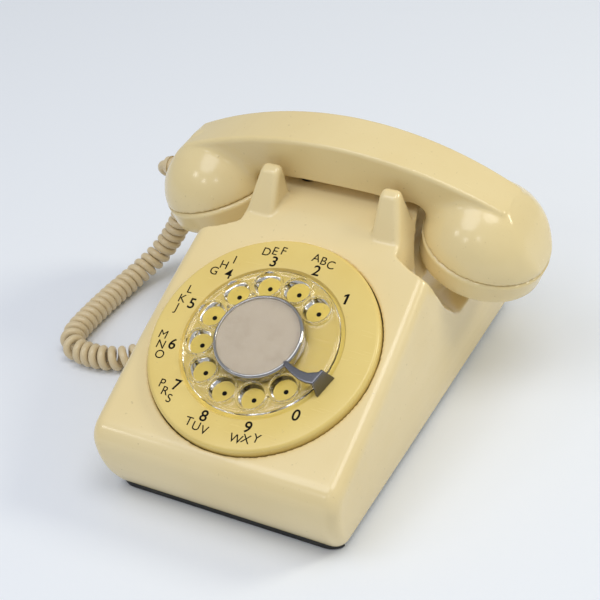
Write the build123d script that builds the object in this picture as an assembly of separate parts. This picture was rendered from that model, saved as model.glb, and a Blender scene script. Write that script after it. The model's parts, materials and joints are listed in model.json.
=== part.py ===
"""Rotary desk telephone: housing, dial with its gear train, ringer, hook switch, handset and curly cord."""
import os
from math import acos, cos, hypot, pi, radians, sin, sqrt, tan

from build123d import *

os.makedirs("parts", exist_ok=True)

# Frame while modelling: X right, Y back, Z up, table at zero, dial centre on x = 0 and y = 0.
# Every part is moved by frame_shift when it is written, so that the box is centred on the origin.
frame_shift = Vector(4.3, -45.43, 0)

# Fits
shaft_gap = 0.05
run_gap = 0.5
seam_gap = 0.4

# Base and feet
foot_height = 3.0
foot_radius = 8.0
foot_taper = 1.2
foot_side_inset = 21.0
foot_front_inset = 13.5
foot_rear_inset = 17.0
plate_thickness = 1.2
plate_inset = 1.2
plate_corner = 9.0
housing_floor = foot_height + plate_thickness

# Housing, seen from the side
wall = 2.8
face_slope = radians(22)
face_z = 66.0
nose_y = -60.5
nose_z = 33.0
chin_y = -51.5
saddle_z = 94.0
crest_radius = 40.0
rear_y = 151.0
rear_radius = 27.0
rear_tuck = 2.0
edge_radius = 6.5

# Housing, seen from the front
half_width = 66.0
widest_z = 46.0
side_radius = 247.0

# Cradle: ears, tower and the scoops under the handset's cups
ear_foot_y = 61.4
ear_front_y = 74.6
ear_back_y = 81.0
ear_heel_y = 84.0
ear_foot_z = 88.0
ear_brow_z = 110.4
ear_top_z = 113.2
ear_inner_x = 26.4
ear_inner_lean = 0.05
ear_round = 2.8
tower_x = 42.0
tower_z = 92.0
tower_lean = 0.235
scoop_x = 77.0
scoop_floor_z = 48.0
scoop_points = [(26, scoop_floor_z), (38, 61.0), (52, 88.0), (70, 123.0)]
scoop_round = 10.0
cup_room = 4.0
carry_width = 64.0
carry_low_z = 50.0
carry_high_z = 78.0
carry_depth = 20.0
carry_round = 8.0
boss_radius = 5.0
boss_side_inset = 12.0
boss_rear_inset = 11.0
boss_front_inset = 7.5

# Handset
handset_x = -2.2
handset_y = 99.0
seam_half_span = 74.5
seam_z = 79.0
cup_tilt = 17.0
cup_radius = 32.0
dome_radius = 32.05
cup_wall = 3.5
cap_height = 14.9
cap_wall = 2.4
cap_dish = 2.5
cap_rim_inset = 6.0
cap_round = 3.0
cap_slope = 1.0
collar_inset = 2.2
collar_height = 4.0
collar_wall = 1.6
transmitter_holes = [(1, 0), (6, 6.0), (12, 12.0)]
transmitter_hole_radius = 1.2
receiver_holes = [(1, 0), (6, 7.0)]
receiver_hole_radius = 1.8
unit_room = 0.2
unit_drop = 8.0
unit_flange = 4.0
unit_step = 6.0
transmitter_top = 2.0
receiver_top = 6.0
strip_top_z = 125.5
strip_top_radius = 205.0
strip_low_z = 100.3
strip_low_radius = 420.0
strip_top_half = 15.0
strip_low_half = 11.5
strip_end_reach = 14.0
strip_end_drop = 16.0
strip_end_lean = 33.0
end_bulge = 3.5
strip_round = 2.0
blend_round = 2.0
web_reach = 28.5
web_drop = 8.0
web_step = 2.0
web_round = 9.0
bushing_z = 81.5
bushing_tip_x = -111.5
bushing_radius = 5.2
bushing_tip_radius = 4.4
bushing_neck = 4.4

# Dial, heights above the ring plane along the face's normal
ring_radius = 57.15
ring_room = 0.5
ring_shoulder = 2.1
ring_step = 1.2
ring_step_slope = 0.8
ring_plane_lift = 1.1
band_w = 2.7
under_wheel_w = 0.9
wheel_radius = 38.8
wheel_low_w = 1.7
wheel_high_w = 3.7
wheel_edge = 1.0
bead_width = 2.4
bead_height = 0.8
hole_count = 10
hole_circle = 29.9
hole_radius = 6.9
hole_low_radius = 5.6
hole_first = 47.3
hole_step = 30.0
collar_radius = 7.7
collar_w = 5.8
card_radius = 20.6
card_rim_radius = 22.2
rim_wall = 0.8
card_w = 7.4
card_thickness = 0.3
cover_edge = 0.8
cover_crown = 0.5
rim_lip = 1.6
stop_angle = -19.0
stop_foot_radius = 45.0
stop_w = 9.4
stop_thickness = 1.6
stop_foot_length = 5.8
stop_foot_width = 8.6
stop_foot_rise = 1.6
stop_round = 0.8
stop_edge = [(-25.5, -3.2), (-22, -5.2), (-12, -5.0), (-2, -4.6), (-2, 4.6), (-9, 3.4), (-17, -0.4)]

# Dial works behind the face
dial_plate_w = -3.9
dial_plate_thickness = 1.5
dial_plate_radius = 50.0
rear_plate_w = -24.5
rear_plate_radius = 48.0
post_radius = 3.0
post_circle = 43.5
post_angles = [20, 140, 270]
shaft_radius = 3.0
shaft_end = 1.0
shaft_seat = 2.0
pressure_angle = radians(25)
tooth_height = 0.7
tooth_root = 1.05
tooth_slack = 0.3
main_teeth = 60
main_module = 0.9
idler_pinion_teeth = 12
idler_teeth = 40
idler_module = 0.7
governor_teeth = 10
idler_angle = 215.0
governor_turn = 90.0
pin_radius = 1.5
spring_turns = 4
spring_inner_radius = 5.0
spring_pitch = 1.4
spring_thickness = 0.6
spring_width = 5.0
spring_lift = 3.5
gear_width = 2.4
gear_lap = 0.4
main_drop = 4.0
idler_drop = 5.0
idler_hub_radius = 3.2
cam_lift = 5.0
cam_reach = 5.2
cam_width = 2.0
cam_lobe = 3.6
cam_hub_radius = 3.6
bar_lift = 2.0
bar_reach = 4.6
bar_width = 2.8
bar_height = 4.0
bar_hub_radius = 2.6
weight_radius = 2.0
cup_outer_radius = 8.6
governor_cup_wall = 1.2
governor_cup_floor = 1.0
governor_cup_height = 6.5
pile_length = 10.0
pile_width = 8.0
pile_height = 9.0
leaf_thickness = 0.5
leaf_spread = 2.2
leaf_length = 16.0
leaf_back = 13.0
bracket_half = 8.0
bracket_inset = 1.6
bracket_flange = 10.0
bracket_front = 9.0
bracket_rear = 11.0

# Ringer, hook switch and network
gong_radius = 22.0
gong_wall = 1.6
gong_x = 28.0
gong_y = 122.0
gong_low_z = 11.0
gong_top_z = 27.0
gong_round = 9.0
screw_radius = 2.0
screw_head_radius = 4.5
screw_head_height = 2.2
screw_length = 10.0
ringer_half = 40.0
ringer_front = 12.0
ringer_rear = 8.0
clapper_y = 98.0
clapper_z = 15.0
clapper_hub_radius = 4.0
clapper_hub_half = 3.0
armature_half = 18.0
armature_width = 3.2
armature_height = 5.0
clapper_rod_radius = 1.1
clapper_ball_radius = 3.0
pole_thickness = 2.0
pole_half = 6.0
pole_gap = 1.6
coil_y = 84.0
coil_z = 17.0
coil_radius = 8.0
coil_half = 17.0
core_radius = 3.5
spool_flange = 1.2
spool_rise = 1.0
sheet = 1.5
hook_half = 22.0
hook_foot = 10.0
hook_drop = 6.0
cheek_low = 12.0
cheek_edge = 4.0
lever_pin_y = 70.0
lever_pin_z = 79.0
lever_pin_inset = 4.0
lever_tube_radius = 3.0
lever_thickness = 2.0
lever_neck = 9.0
lever_shoulder = 6.0
lever_half = 28.0
lever_end_y = 103.0
lever_slack = 0.7
tongue_half = 5.0
contact_half = 9.0
contact_depth = 8.0
contact_low_z = 48.0
contact_high_z = 60.0
contact_leaf_half = 3.0
contact_leaf_step = 2.4
contact_leaf_low_z = 55.0
contact_leaf_drop = 5.0
plunger_x = 24.0
plunger_radius = 4.0
plunger_low_z = 82.0
plunger_flange = 1.8
plunger_flange_height = 1.6
plunger_edge = 0.8
volume_inset = 20.0
volume_y = 70.0
volume_z = 12.5
volume_radius = 11.5
volume_half = 2.5
volume_flutes = 16
flute_radius = 1.0
flute_offset = 0.4
volume_axle_radius = 2.0
volume_axle_half = 5.6
volume_room = 1.5
network_half = 32.0
network_front_y = 18.0
network_rear_y = 52.0
network_top_z = 26.0
network_round = 2.0
terminal_rows = (24.0, 46.0)
terminal_step = 12.0
terminal_radius = 2.6
terminal_height = 2.0

# Cords
grommet_y = 42.0
grommet_z = 10.0
grommet_radius = 5.0
flange_lip = 1.5
flange_height = 1.6
inlet_x = 25.0
cord_wire = 5.8
cord_room = 0.3
coil_mean_radius = 3.5
cord_route = [
    (-103, 99, 81.5),
    (-108.5, 99, 81.5),
    (-112.6, 99, 81.5),
    (-115.6, 99.5, 79.2),
    (-115.9, 100.8, 75.4),
    (-113.2, 103, 72.6),
    (-110.6, 107, 71.4),
    (-110.8, 112.5, 69.5),
    (-113, 117.5, 63),
    (-114, 116, 50),
    (-117, 112.5, 37),
    (-123, 109, 25),
    (-131, 102, 13.5),
    (-139, 86, 6.9),
    (-142.5, 58, 6.9),
    (-143, 22, 6.9),
    (-118, 19, 6.9),
    (-100, 26, 7.2),
    (-86, 42, 9.5),
    (-74, 42, 10),
    (-63, 42, 10),
]
coil_gap = 0.85
coil_start = 24.0
coil_stop = 12.0
coil_growth = 12.0
growth_pitch = 10.0
bend_limit = 0.6
route_step = 0.12
loose_pitch = 4.0
loose_length = 50.0
plain_step = 4.0

bottom = (Align.CENTER, Align.CENTER, Align.MIN)
dial_z = face_z + ring_plane_lift / cos(face_slope)
dial_plane = Plane((0, 0, dial_z), x_dir=(1, 0, 0), z_dir=(0, -sin(face_slope), cos(face_slope)))
dial_at = dial_plane.location
strip_end_x = seam_half_span + strip_end_reach
web_x = seam_half_span - web_reach
hook_plate_y = lever_pin_y - lever_pin_inset
volume_x = half_width - volume_inset
shoulder_z = saddle_z - rear_radius
rear_sweep = ((shoulder_z - housing_floor) ** 2 + rear_tuck**2) / (2 * rear_tuck)
foot_x = half_width - foot_side_inset
foot_places = {
    "front_left": (-foot_x, chin_y + foot_front_inset),
    "front_right": (foot_x, chin_y + foot_front_inset),
    "rear_left": (-foot_x, rear_y - foot_rear_inset),
    "rear_right": (foot_x, rear_y - foot_rear_inset),
}
boss_x = half_width - boss_side_inset
boss_y = rear_y - boss_rear_inset
boss_places = [(-boss_x, boss_y), (boss_x, boss_y), (0, chin_y + boss_front_inset)]


def rod(radius, low, high):
    return Pos(0, 0, low) * Cylinder(radius, high - low, align=bottom)


def block(x0, x1, y0, y1, z0, z1):
    return Pos((x0 + x1) / 2, (y0 + y1) / 2, (z0 + z1) / 2) * Box(x1 - x0, y1 - y0, z1 - z0)


def turned(points):
    return revolve(Plane.XZ * make_face(Polyline(*points, close=True)), Axis.Z)


def polar(radius, angle):
    return radius * cos(radians(angle)), radius * sin(radians(angle))


def save(node, shape):
    export_step(Location(frame_shift) * shape, f"parts/{node}.step")


# Housing
def bulge(most, least_at, radius, z):
    """Distance of a wall that is an arc seen from the side, at height z."""
    return most - radius + sqrt(radius**2 - (z - least_at) ** 2)


def side_profile(floor):
    rise = tan(face_slope)
    nose_radius = (nose_y * sin(face_slope) + (face_z - nose_z) * cos(face_slope)) / (1 - sin(face_slope))
    nose_centre = nose_y + nose_radius
    chin_radius = ((chin_y - nose_y) ** 2 + (nose_z - housing_floor) ** 2) / (2 * (chin_y - nose_y))
    chin = (-bulge(-nose_y, nose_z, chin_radius, floor), floor)
    chin_mid_z = (floor + nose_z) / 2
    chin_mid = (-bulge(-nose_y, nose_z, chin_radius, chin_mid_z), chin_mid_z)
    nose = (nose_y, nose_z)
    half_turn = (pi / 2 - face_slope) / 2
    nose_mid = (nose_centre - nose_radius * cos(half_turn), nose_z + nose_radius * sin(half_turn))
    face_low = (nose_centre - nose_radius * sin(face_slope), nose_z + nose_radius * cos(face_slope))
    crest_low_z = saddle_z - crest_radius * (1 - cos(face_slope))
    crest_low = ((crest_low_z - face_z) / rise, crest_low_z)
    crest_y = crest_low[0] + crest_radius * sin(face_slope)
    crest_mid = (
        crest_y - crest_radius * sin(face_slope / 2),
        saddle_z - crest_radius * (1 - cos(face_slope / 2)),
    )
    saddle_end = rear_y - rear_radius
    rear_mid = (saddle_end + rear_radius * sin(pi / 4), saddle_z - rear_radius * (1 - cos(pi / 4)))
    heel = (bulge(rear_y, shoulder_z, rear_sweep, floor), floor)
    heel_mid_z = (floor + shoulder_z) / 2
    heel_mid = (bulge(rear_y, shoulder_z, rear_sweep, heel_mid_z), heel_mid_z)
    outline = [
        ThreePointArc(chin, chin_mid, nose),
        ThreePointArc(nose, nose_mid, face_low),
        Line(face_low, crest_low),
        ThreePointArc(crest_low, crest_mid, (crest_y, saddle_z)),
        Line((crest_y, saddle_z), (saddle_end, saddle_z)),
        ThreePointArc((saddle_end, saddle_z), rear_mid, (rear_y, shoulder_z)),
        ThreePointArc((rear_y, shoulder_z), heel_mid, heel),
        Line(heel, chin),
    ]
    return make_face(Curve() + outline)


def front_profile(floor, top):
    low = bulge(half_width, widest_z, side_radius, floor)
    high = bulge(half_width, widest_z, side_radius, top)
    outline = [
        Line((-low, floor), (low, floor)),
        ThreePointArc((low, floor), (half_width, widest_z), (high, top)),
        Line((high, top), (-high, top)),
        ThreePointArc((-high, top), (-half_width, widest_z), (-low, floor)),
    ]
    return make_face(Curve() + outline)


def cup_location(side):
    """Frame of a cup: origin at the seam's centre, Z up the cup's axis, X away from the middle."""
    tilt = radians(cup_tilt)
    centre = (handset_x + side * seam_half_span, handset_y, seam_z)
    away = (side * cos(tilt), 0, -sin(tilt))
    return Plane(centre, x_dir=away, z_dir=(side * sin(tilt), 0, cos(tilt))).location


def tower_at(z):
    return tower_x + tower_lean * (tower_z - z)


def scoop(side, inset):
    """Room for one cup: a flared dish outside the tower's side, and a tilted round around the cup."""
    high = scoop_points[-1][1]
    dish_points = [(0, scoop_floor_z)] + scoop_points + [(0, high)]
    dish_face = make_face(Polyline(*dish_points, close=True))
    bends = dish_face.vertices().group_by(Axis.X)[1:3]
    dish_face = fillet(bends[0] + bends[1], scoop_round)
    if inset:
        dish_face = offset(dish_face, inset)
        dish_face = dish_face & Pos(100, 0) * Rectangle(200, 400)
    dish = revolve(Plane.XZ * dish_face, Axis.Z)
    trench = Plane.XZ * (dish_face + mirror(dish_face, Plane.YZ))
    dish = Pos(side * scoop_x, handset_y, 0) * (dish + extrude(trench, -rear_y))
    low = scoop_floor_z - 10
    outer = 2 * half_width
    outside = make_face(
        Polyline(
            (side * (tower_at(low) - inset), low),
            (side * outer, low),
            (side * outer, high + inset),
            (side * (tower_at(high + inset) - inset), high + inset),
            close=True,
        )
    )
    outside = extrude(Plane.XZ * outside, rear_y + 50, both=True)
    room = cup_location(side) * rod(cup_radius + cup_room + inset, -cap_height - cup_room - inset, 80)
    return dish & outside, room


def housing_form(inset):
    floor = housing_floor - 2 * inset
    top = saddle_z + 20
    sides = extrude(Plane.YZ * offset(side_profile(floor), -inset), 100, both=True)
    fronts = extrude(Plane.XZ * offset(front_profile(floor, top), -inset), 300, both=True)
    form = sides & fronts
    if not inset:
        creases = form.edges().filter_by(lambda e: e.bounding_box().size.X < 40)
        creases = creases.filter_by(lambda e: e.bounding_box().max.Z > floor + 1)
        form = fillet(creases, edge_radius)
    for side in (-1, 1):
        for room in scoop(side, inset):
            form = form - room
    return form


def ear(side, front):
    outline = make_face(
        Polyline(
            (ear_foot_y, ear_foot_z),
            (ear_front_y, ear_brow_z),
            (ear_back_y, ear_top_z),
            (ear_heel_y, ear_foot_z),
            close=True,
        )
    )
    body = extrude(Plane.YZ * outline, 2 * tower_x, both=True)
    inner_low = ear_inner_x - ear_inner_lean * (tower_z - ear_foot_z)
    inner_high = ear_inner_x + ear_inner_lean * (ear_top_z - tower_z)
    band = make_face(
        Polyline(
            (inner_low, ear_foot_z),
            (tower_at(ear_foot_z), ear_foot_z),
            (tower_at(ear_top_z), ear_top_z),
            (inner_high, ear_top_z),
            close=True,
        )
    )
    body = body & extrude(Plane.XZ * band, 2 * rear_y, both=True)
    body = fillet(body.edges().filter_by(lambda e: e.bounding_box().max.Z > ear_foot_z + 1), ear_round)
    if side < 0:
        body = mirror(body, Plane.YZ)
    if not front:
        body = mirror(body, Plane.XZ.offset(-handset_y))
    return body


def carry_pocket(inset):
    low = carry_low_z - inset
    high = carry_high_z + inset
    depth = carry_depth + inset
    half = carry_width / 2 + inset
    pocket = block(-half, half, rear_y - depth, rear_y + wall, low, high)
    return fillet(pocket.edges().filter_by(Axis.Y), carry_round + inset)


def housing():
    cavity = housing_form(wall) - carry_pocket(wall)
    for x, y in boss_places:
        cavity = cavity - Pos(x, y, 0) * rod(boss_radius, housing_floor, saddle_z)
    shell = housing_form(0)
    for side in (-1, 1):
        for front in (True, False):
            shell = shell + ear(side, front)
    shell = shell - cavity - carry_pocket(0)
    shell = shell - dial_at * rod(ring_radius + ring_room, -4 * wall, 4 * wall)
    bore = rod(plunger_radius + shaft_gap, plunger_low_z, saddle_z + wall)
    for side in (-1, 1):
        shell = shell - Pos(side * plunger_x, handset_y, 0) * bore
    for x, y in boss_places:
        shell = shell - Pos(x, y, 0) * rod(pin_radius, housing_floor, housing_floor + 3 * wall)
    entry = rod(grommet_radius + shaft_gap, -3 * wall, 3 * wall)
    shell = shell - Pos(-half_width, grommet_y, grommet_z) * Rot(0, 90, 0) * entry
    return shell - Pos(inlet_x, rear_y, grommet_z) * Rot(90, 0, 0) * entry


# Base plate and feet
def base_plate():
    half = bulge(half_width, widest_z, side_radius, housing_floor) - plate_inset
    front = chin_y + plate_inset
    rear = rear_y - rear_tuck - plate_inset
    plate = block(-half, half, front, rear, foot_height, housing_floor)
    plate = fillet(plate.edges().filter_by(Axis.Z), plate_corner)
    half_slot = volume_half + volume_room
    reach = volume_radius + volume_room
    slot = block(-half_slot, half_slot, -reach, reach, 0, 2 * housing_floor)
    plate = plate - Pos(volume_x, volume_y, 0) * slot
    for x, y in boss_places:
        plate = plate - Pos(x, y, 0) * rod(pin_radius + shaft_gap, 0, 2 * housing_floor)
    return plate


def foot():
    return turned([(0, 0), (foot_radius - foot_taper, 0), (foot_radius, foot_height), (0, foot_height)])


save("housing", housing())
save("base_plate", base_plate())
for corner, (x, y) in foot_places.items():
    save(f"foot_{corner}", Pos(x, y, 0) * foot())


# Handset
def strip():
    """Flat-topped grip: the band between two arcs, narrower below, with sloped ends and round webs."""
    top_centre = strip_top_z - strip_top_radius
    low_centre = strip_low_z - strip_low_radius

    def top_at(x):
        return top_centre + sqrt(strip_top_radius**2 - x**2)

    def low_at(x):
        return low_centre + sqrt(strip_low_radius**2 - x**2)

    end_foot_x = strip_end_x + strip_end_drop * tan(radians(strip_end_lean))
    web_z = low_at(web_x) - web_drop
    right = [
        (strip_end_x, top_at(strip_end_x)),
        (end_foot_x, top_at(strip_end_x) - strip_end_drop),
        (seam_half_span, web_z + web_step / 2),
        (web_x + web_step, web_z),
        (web_x, low_at(web_x)),
    ]
    left = [(-x, z) for x, z in reversed(right)]
    outline = [
        ThreePointArc(left[-1], (0, strip_top_z), right[0]),
        Polyline(*right),
        ThreePointArc(right[-1], (0, strip_low_z), left[0]),
        Polyline(*left),
    ]
    side_view = make_face(Curve() + outline)
    webs = side_view.vertices().filter_by(lambda v: abs(abs(v.X) - web_x) < 0.1)
    side_view = fillet(webs, web_round)
    band = extrude(Plane.XZ * side_view, cup_radius, both=True)
    lean = (strip_top_half - strip_low_half) / (strip_top_z - strip_low_z)
    deep = strip_top_z - seam_z
    section = make_face(
        Polyline(
            (-strip_top_half, strip_top_z),
            (strip_top_half, strip_top_z),
            (strip_top_half - lean * deep, seam_z),
            (-strip_top_half + lean * deep, seam_z),
            close=True,
        )
    )
    body = band & extrude(Plane.YZ * section, 2 * cup_radius + seam_half_span, both=True)
    end_z = top_at(strip_end_x) - 1
    return fillet(body.edges().filter_by(lambda e: e.bounding_box().max.Z > end_z), strip_round)


def dome(radius):
    drop = sqrt(dome_radius**2 - cup_radius**2)
    ball = Pos(0, 0, -drop) * Sphere(radius)
    return ball & rod(2 * cup_radius, 0, 2 * cup_radius)


def cup_end(side):
    """What is trimmed off a cup's outer end, outside a shallow arc from the grip's end to the seam."""
    tilt = radians(cup_tilt)
    high = Vector(strip_end_x, strip_top_z - strip_top_radius + sqrt(strip_top_radius**2 - strip_end_x**2))
    low = Vector(seam_half_span + cup_radius * cos(tilt), seam_z - cup_radius * sin(tilt))
    chord = low - high
    middle = (high + low) * 0.5 + Vector(-chord.Y, chord.X) * (end_bulge / chord.length)
    out = 2 * seam_half_span
    corners = [(low.X, low.Y), (out, low.Y), (out, strip_top_z), (high.X, strip_top_z), (high.X, high.Y)]
    end = make_face(Curve() + [ThreePointArc(high, middle, low), Polyline(*corners)])
    body = extrude(Plane.XZ * end, 2 * cup_radius, both=True)
    if side < 0:
        body = mirror(body, Plane.YZ)
    return Pos(handset_x, handset_y, 0) * body


def on_dome(edge):
    """Whether an edge is where the grip meets a cup's dome; the dome's own edges don't count."""
    drop = sqrt(dome_radius**2 - cup_radius**2)
    centres = [(cup_location(side) * Pos(0, 0, -drop)).position for side in (-1, 1)]
    own = edge.length > 2 * cup_radius or edge.bounding_box().size.Y < seam_gap
    samples = [edge @ at for at in (0.1, 0.5, 0.9)]
    gaps = [min(abs((point - centre).length - dome_radius) for centre in centres) for point in samples]
    return max(gaps) < shaft_gap and not own


def handset_handle():
    grip = Pos(handset_x, handset_y, 0) * strip()
    for side in (-1, 1):
        grip = grip + cup_location(side) * dome(dome_radius)
    grip = fillet(grip.edges().filter_by(on_dome), blend_round)
    for side in (-1, 1):
        hollow = cup_location(side) * dome(dome_radius - cup_wall)
        grip = grip - cup_end(side) - (hollow - Pos(-side * cup_wall, 0, 0) * cup_end(side))
    neck = Pos(handset_x - seam_half_span, handset_y, bushing_z) * Rot(0, -90, 0)
    return grip - neck * rod(bushing_neck + shaft_gap, dome_radius - 3 * cup_wall, 2 * dome_radius)


def cap(hole_rings, hole_radius):
    collar = cup_radius - cup_wall - collar_inset
    floor = -cap_height
    outline = [
        (0, floor + cap_dish),
        (cup_radius - cap_rim_inset, floor),
        (cup_radius - cap_round, floor + cap_slope),
        (cup_radius - cap_slope, floor + cap_round),
        (cup_radius, -seam_gap),
        (collar, -seam_gap),
        (collar, collar_height),
        (collar - collar_wall, collar_height),
        (collar - collar_wall, floor + cap_dish + cap_wall),
        (0, floor + cap_dish + cap_wall),
    ]
    body = turned(outline)
    for count, radius in hole_rings:
        holes = PolarLocations(radius, count) if radius else [Pos(0, 0)]
        for place in holes:
            body = body - place * rod(hole_radius, floor - cap_wall, 0)
    return body


def unit(low, high):
    """Sound capsule that fills a cap: a disc with a raised middle."""
    radius = cup_radius - cup_wall - collar_inset - collar_wall - unit_room
    shelf = low + unit_flange
    return rod(radius, low, shelf) + rod(radius - unit_step, shelf, high)


def cord_bushing():
    reach = handset_x - seam_half_span - bushing_tip_x
    seat = sqrt(dome_radius**2 - (bushing_z - seam_z) ** 2) + cord_room
    bore = cord_wire / 2 + cord_room
    body = turned(
        [
            (bore, seat - cup_wall),
            (bushing_neck, seat - cup_wall),
            (bushing_neck, seat),
            (bushing_radius, seat),
            (bushing_tip_radius, reach),
            (bore, reach),
        ]
    )
    return Pos(handset_x - seam_half_span, handset_y, bushing_z) * Rot(0, -90, 0) * body


save("handset_handle", handset_handle())
save("transmitter_cap", cup_location(-1) * cap(transmitter_holes, transmitter_hole_radius))
save("receiver_cap", cup_location(1) * cap(receiver_holes, receiver_hole_radius))
save("transmitter_unit", cup_location(-1) * unit(-unit_drop, transmitter_top))
save("receiver_unit", cup_location(1) * unit(-unit_drop, receiver_top))
save("cord_bushing", cord_bushing())


# Dial face
def dial_number_ring():
    step = wheel_radius + ring_step
    bore = shaft_radius + run_gap
    section = make_face(
        Polyline(
            (ring_radius, dial_plate_w),
            (ring_radius, band_w),
            (step + ring_step_slope, band_w),
            (step, under_wheel_w),
            (bore, under_wheel_w),
            (bore, dial_plate_w),
            close=True,
        )
    )
    shoulder = section.vertices().group_by(Axis.X)[-1].sort_by(Axis.Y)[-1]
    return revolve(Plane.XZ * fillet(shoulder, ring_shoulder), Axis.Z)


def finger_wheel():
    """Clear wheel: flat disc with a hub for the card and ten finger holes with raised collars."""
    hub = card_rim_radius - rim_wall
    wheel = turned(
        [
            (0, wheel_low_w),
            (wheel_radius - wheel_edge, wheel_low_w),
            (wheel_radius, wheel_low_w + wheel_edge),
            (wheel_radius, wheel_high_w),
            (wheel_radius - bead_width / 3, wheel_high_w + bead_height),
            (wheel_radius - 2 * bead_width / 3, wheel_high_w + bead_height),
            (wheel_radius - bead_width, wheel_high_w),
            (hub, wheel_high_w),
            (hub, card_w),
            (0, card_w),
        ]
    )
    sweep_angle = hole_step * hole_count
    holes = list(PolarLocations(hole_circle, hole_count, hole_first, sweep_angle))
    for place in holes:
        wheel = wheel + place * rod(collar_radius, wheel_low_w, collar_w)
    cup = Pos(0, 0, wheel_low_w) * Cone(hole_low_radius, hole_radius, collar_w - wheel_low_w, align=bottom)
    for place in holes:
        wheel = wheel - place * cup
    return wheel - rod(shaft_radius, 0, wheel_low_w + shaft_seat)


def number_card():
    return rod(card_radius, card_w, card_w + card_thickness)


def card_cover():
    """Clear lens over the card, thicker in the middle."""
    low = card_w + card_thickness
    shoulder = low + cover_edge
    top = shoulder + cover_crown
    lens_radius = (card_radius**2 + cover_crown**2) / (2 * cover_crown)
    middle = bulge(top, 0, lens_radius, card_radius / 2)
    lens = ThreePointArc((card_radius, shoulder), (card_radius / 2, middle), (0, top))
    sides = Polyline((0, top), (0, low), (card_radius, low), (card_radius, shoulder))
    return revolve(Plane.XZ * make_face(Curve() + [lens, sides]), Axis.Z)


def card_rim():
    """Bright band round the hub, turned in over the card's edge."""
    inner = card_radius + shaft_gap
    hub = card_rim_radius - rim_wall
    return turned(
        [
            (hub, wheel_high_w),
            (card_rim_radius, wheel_high_w),
            (card_rim_radius, card_w + rim_lip / 2),
            (card_rim_radius - rim_wall, card_w + rim_lip),
            (inner, card_w + rim_lip),
            (inner, card_w),
            (hub, card_w),
        ]
    )


def finger_stop():
    """Hook-shaped stop: a foot on the number ring and a tapering arm over the wheel."""
    reach = stop_foot_length / 2
    half = stop_foot_width / 2
    foot = block(-reach, reach, -half, half, band_w, stop_w + stop_foot_rise)
    foot = fillet(foot.edges().filter_by(Axis.Z) + foot.edges().group_by(Axis.Z)[-1], stop_round)
    arm = make_face(Polyline(*stop_edge, close=True))
    arm = extrude(Pos(0, 0, stop_w) * arm, stop_thickness)
    return Rot(0, 0, stop_angle) * Pos(stop_foot_radius, 0, 0) * (foot + arm)


for node, make in (
    ("dial_number_ring", dial_number_ring),
    ("finger_wheel", finger_wheel),
    ("number_card", number_card),
    ("card_cover", card_cover),
    ("card_rim", card_rim),
    ("finger_stop", finger_stop),
):
    save(node, dial_at * make())


# Dial works
def gear_face(teeth, module, turn):
    """Involute stub teeth, a tooth centred on the angle turn."""
    pitch = module * teeth / 2
    base = pitch * cos(pressure_angle)
    tip = pitch + tooth_height * module
    root = pitch - tooth_root * module
    half = pi / (2 * teeth) - tooth_slack / (2 * pitch)
    at_pitch = tan(pressure_angle) - pressure_angle

    def flank(radius):
        lean = acos(min(1.0, base / radius))
        return half + at_pitch - (tan(lean) - lean)

    radii = [root, max(base, root), pitch, tip]
    points = []
    for tooth in range(teeth):
        middle = radians(turn) + 2 * pi * tooth / teeth
        rising = [(radius, middle - flank(max(radius, base))) for radius in radii]
        falling = [(radius, middle + flank(max(radius, base))) for radius in reversed(radii)]
        points += [(r * cos(a), r * sin(a)) for r, a in dict.fromkeys(rising + falling)]
    return make_face(Polyline(*points, close=True))


def gear(teeth, module, turn, low, high):
    return extrude(Pos(0, 0, low) * gear_face(teeth, module, turn), high - low)


main_pitch = main_module * main_teeth / 2
pinion_pitch = main_module * idler_pinion_teeth / 2
idler_place = polar(main_pitch + pinion_pitch, idler_angle)
governor_angle = idler_angle + governor_turn
governor_reach = idler_module * (idler_teeth + governor_teeth) / 2
governor_offset = polar(governor_reach, governor_angle)
governor_place = (idler_place[0] + governor_offset[0], idler_place[1] + governor_offset[1])
idler_at = Pos(*idler_place)
governor_at = Pos(*governor_place)
dial_back_w = dial_plate_w - dial_plate_thickness
rear_back_w = rear_plate_w - dial_plate_thickness
main_low_w = dial_back_w - main_drop
idler_low_w = main_low_w - idler_drop
cam_low_w = rear_plate_w + cam_lift


def dial_plate():
    plate = rod(dial_plate_radius, dial_back_w, dial_plate_w)
    plate = plate - rod(shaft_radius + shaft_gap, dial_back_w, dial_plate_w)
    for place in (idler_at, governor_at):
        plate = plate - place * rod(pin_radius + shaft_gap, dial_back_w, dial_plate_w)
    return plate


def dial_rear_plate():
    """Rear plate with the bearings and the pin that holds the mainspring's outer end."""
    plate = rod(rear_plate_radius, rear_back_w, rear_plate_w)
    plate = plate - rod(shaft_radius + shaft_gap, rear_back_w, rear_plate_w)
    for place in (idler_at, governor_at):
        plate = plate - place * rod(pin_radius + shaft_gap, rear_back_w, rear_plate_w)
    spring_end = spring_inner_radius + spring_turns * spring_pitch + spring_thickness / 2
    anchor = Pos(spring_end + pin_radius + shaft_gap, 0, 0)
    return plate + anchor * rod(pin_radius, rear_back_w, rear_plate_w + spring_lift + spring_width / 2)


def dial_post():
    return rod(post_radius, rear_plate_w, dial_back_w)


def dial_shaft():
    return rod(shaft_radius, rear_back_w - shaft_end, wheel_low_w + shaft_seat)


def main_gear():
    body = gear(main_teeth, main_module, idler_angle, main_low_w, main_low_w + gear_width)
    return body - rod(shaft_radius, rear_back_w, 0)


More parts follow.
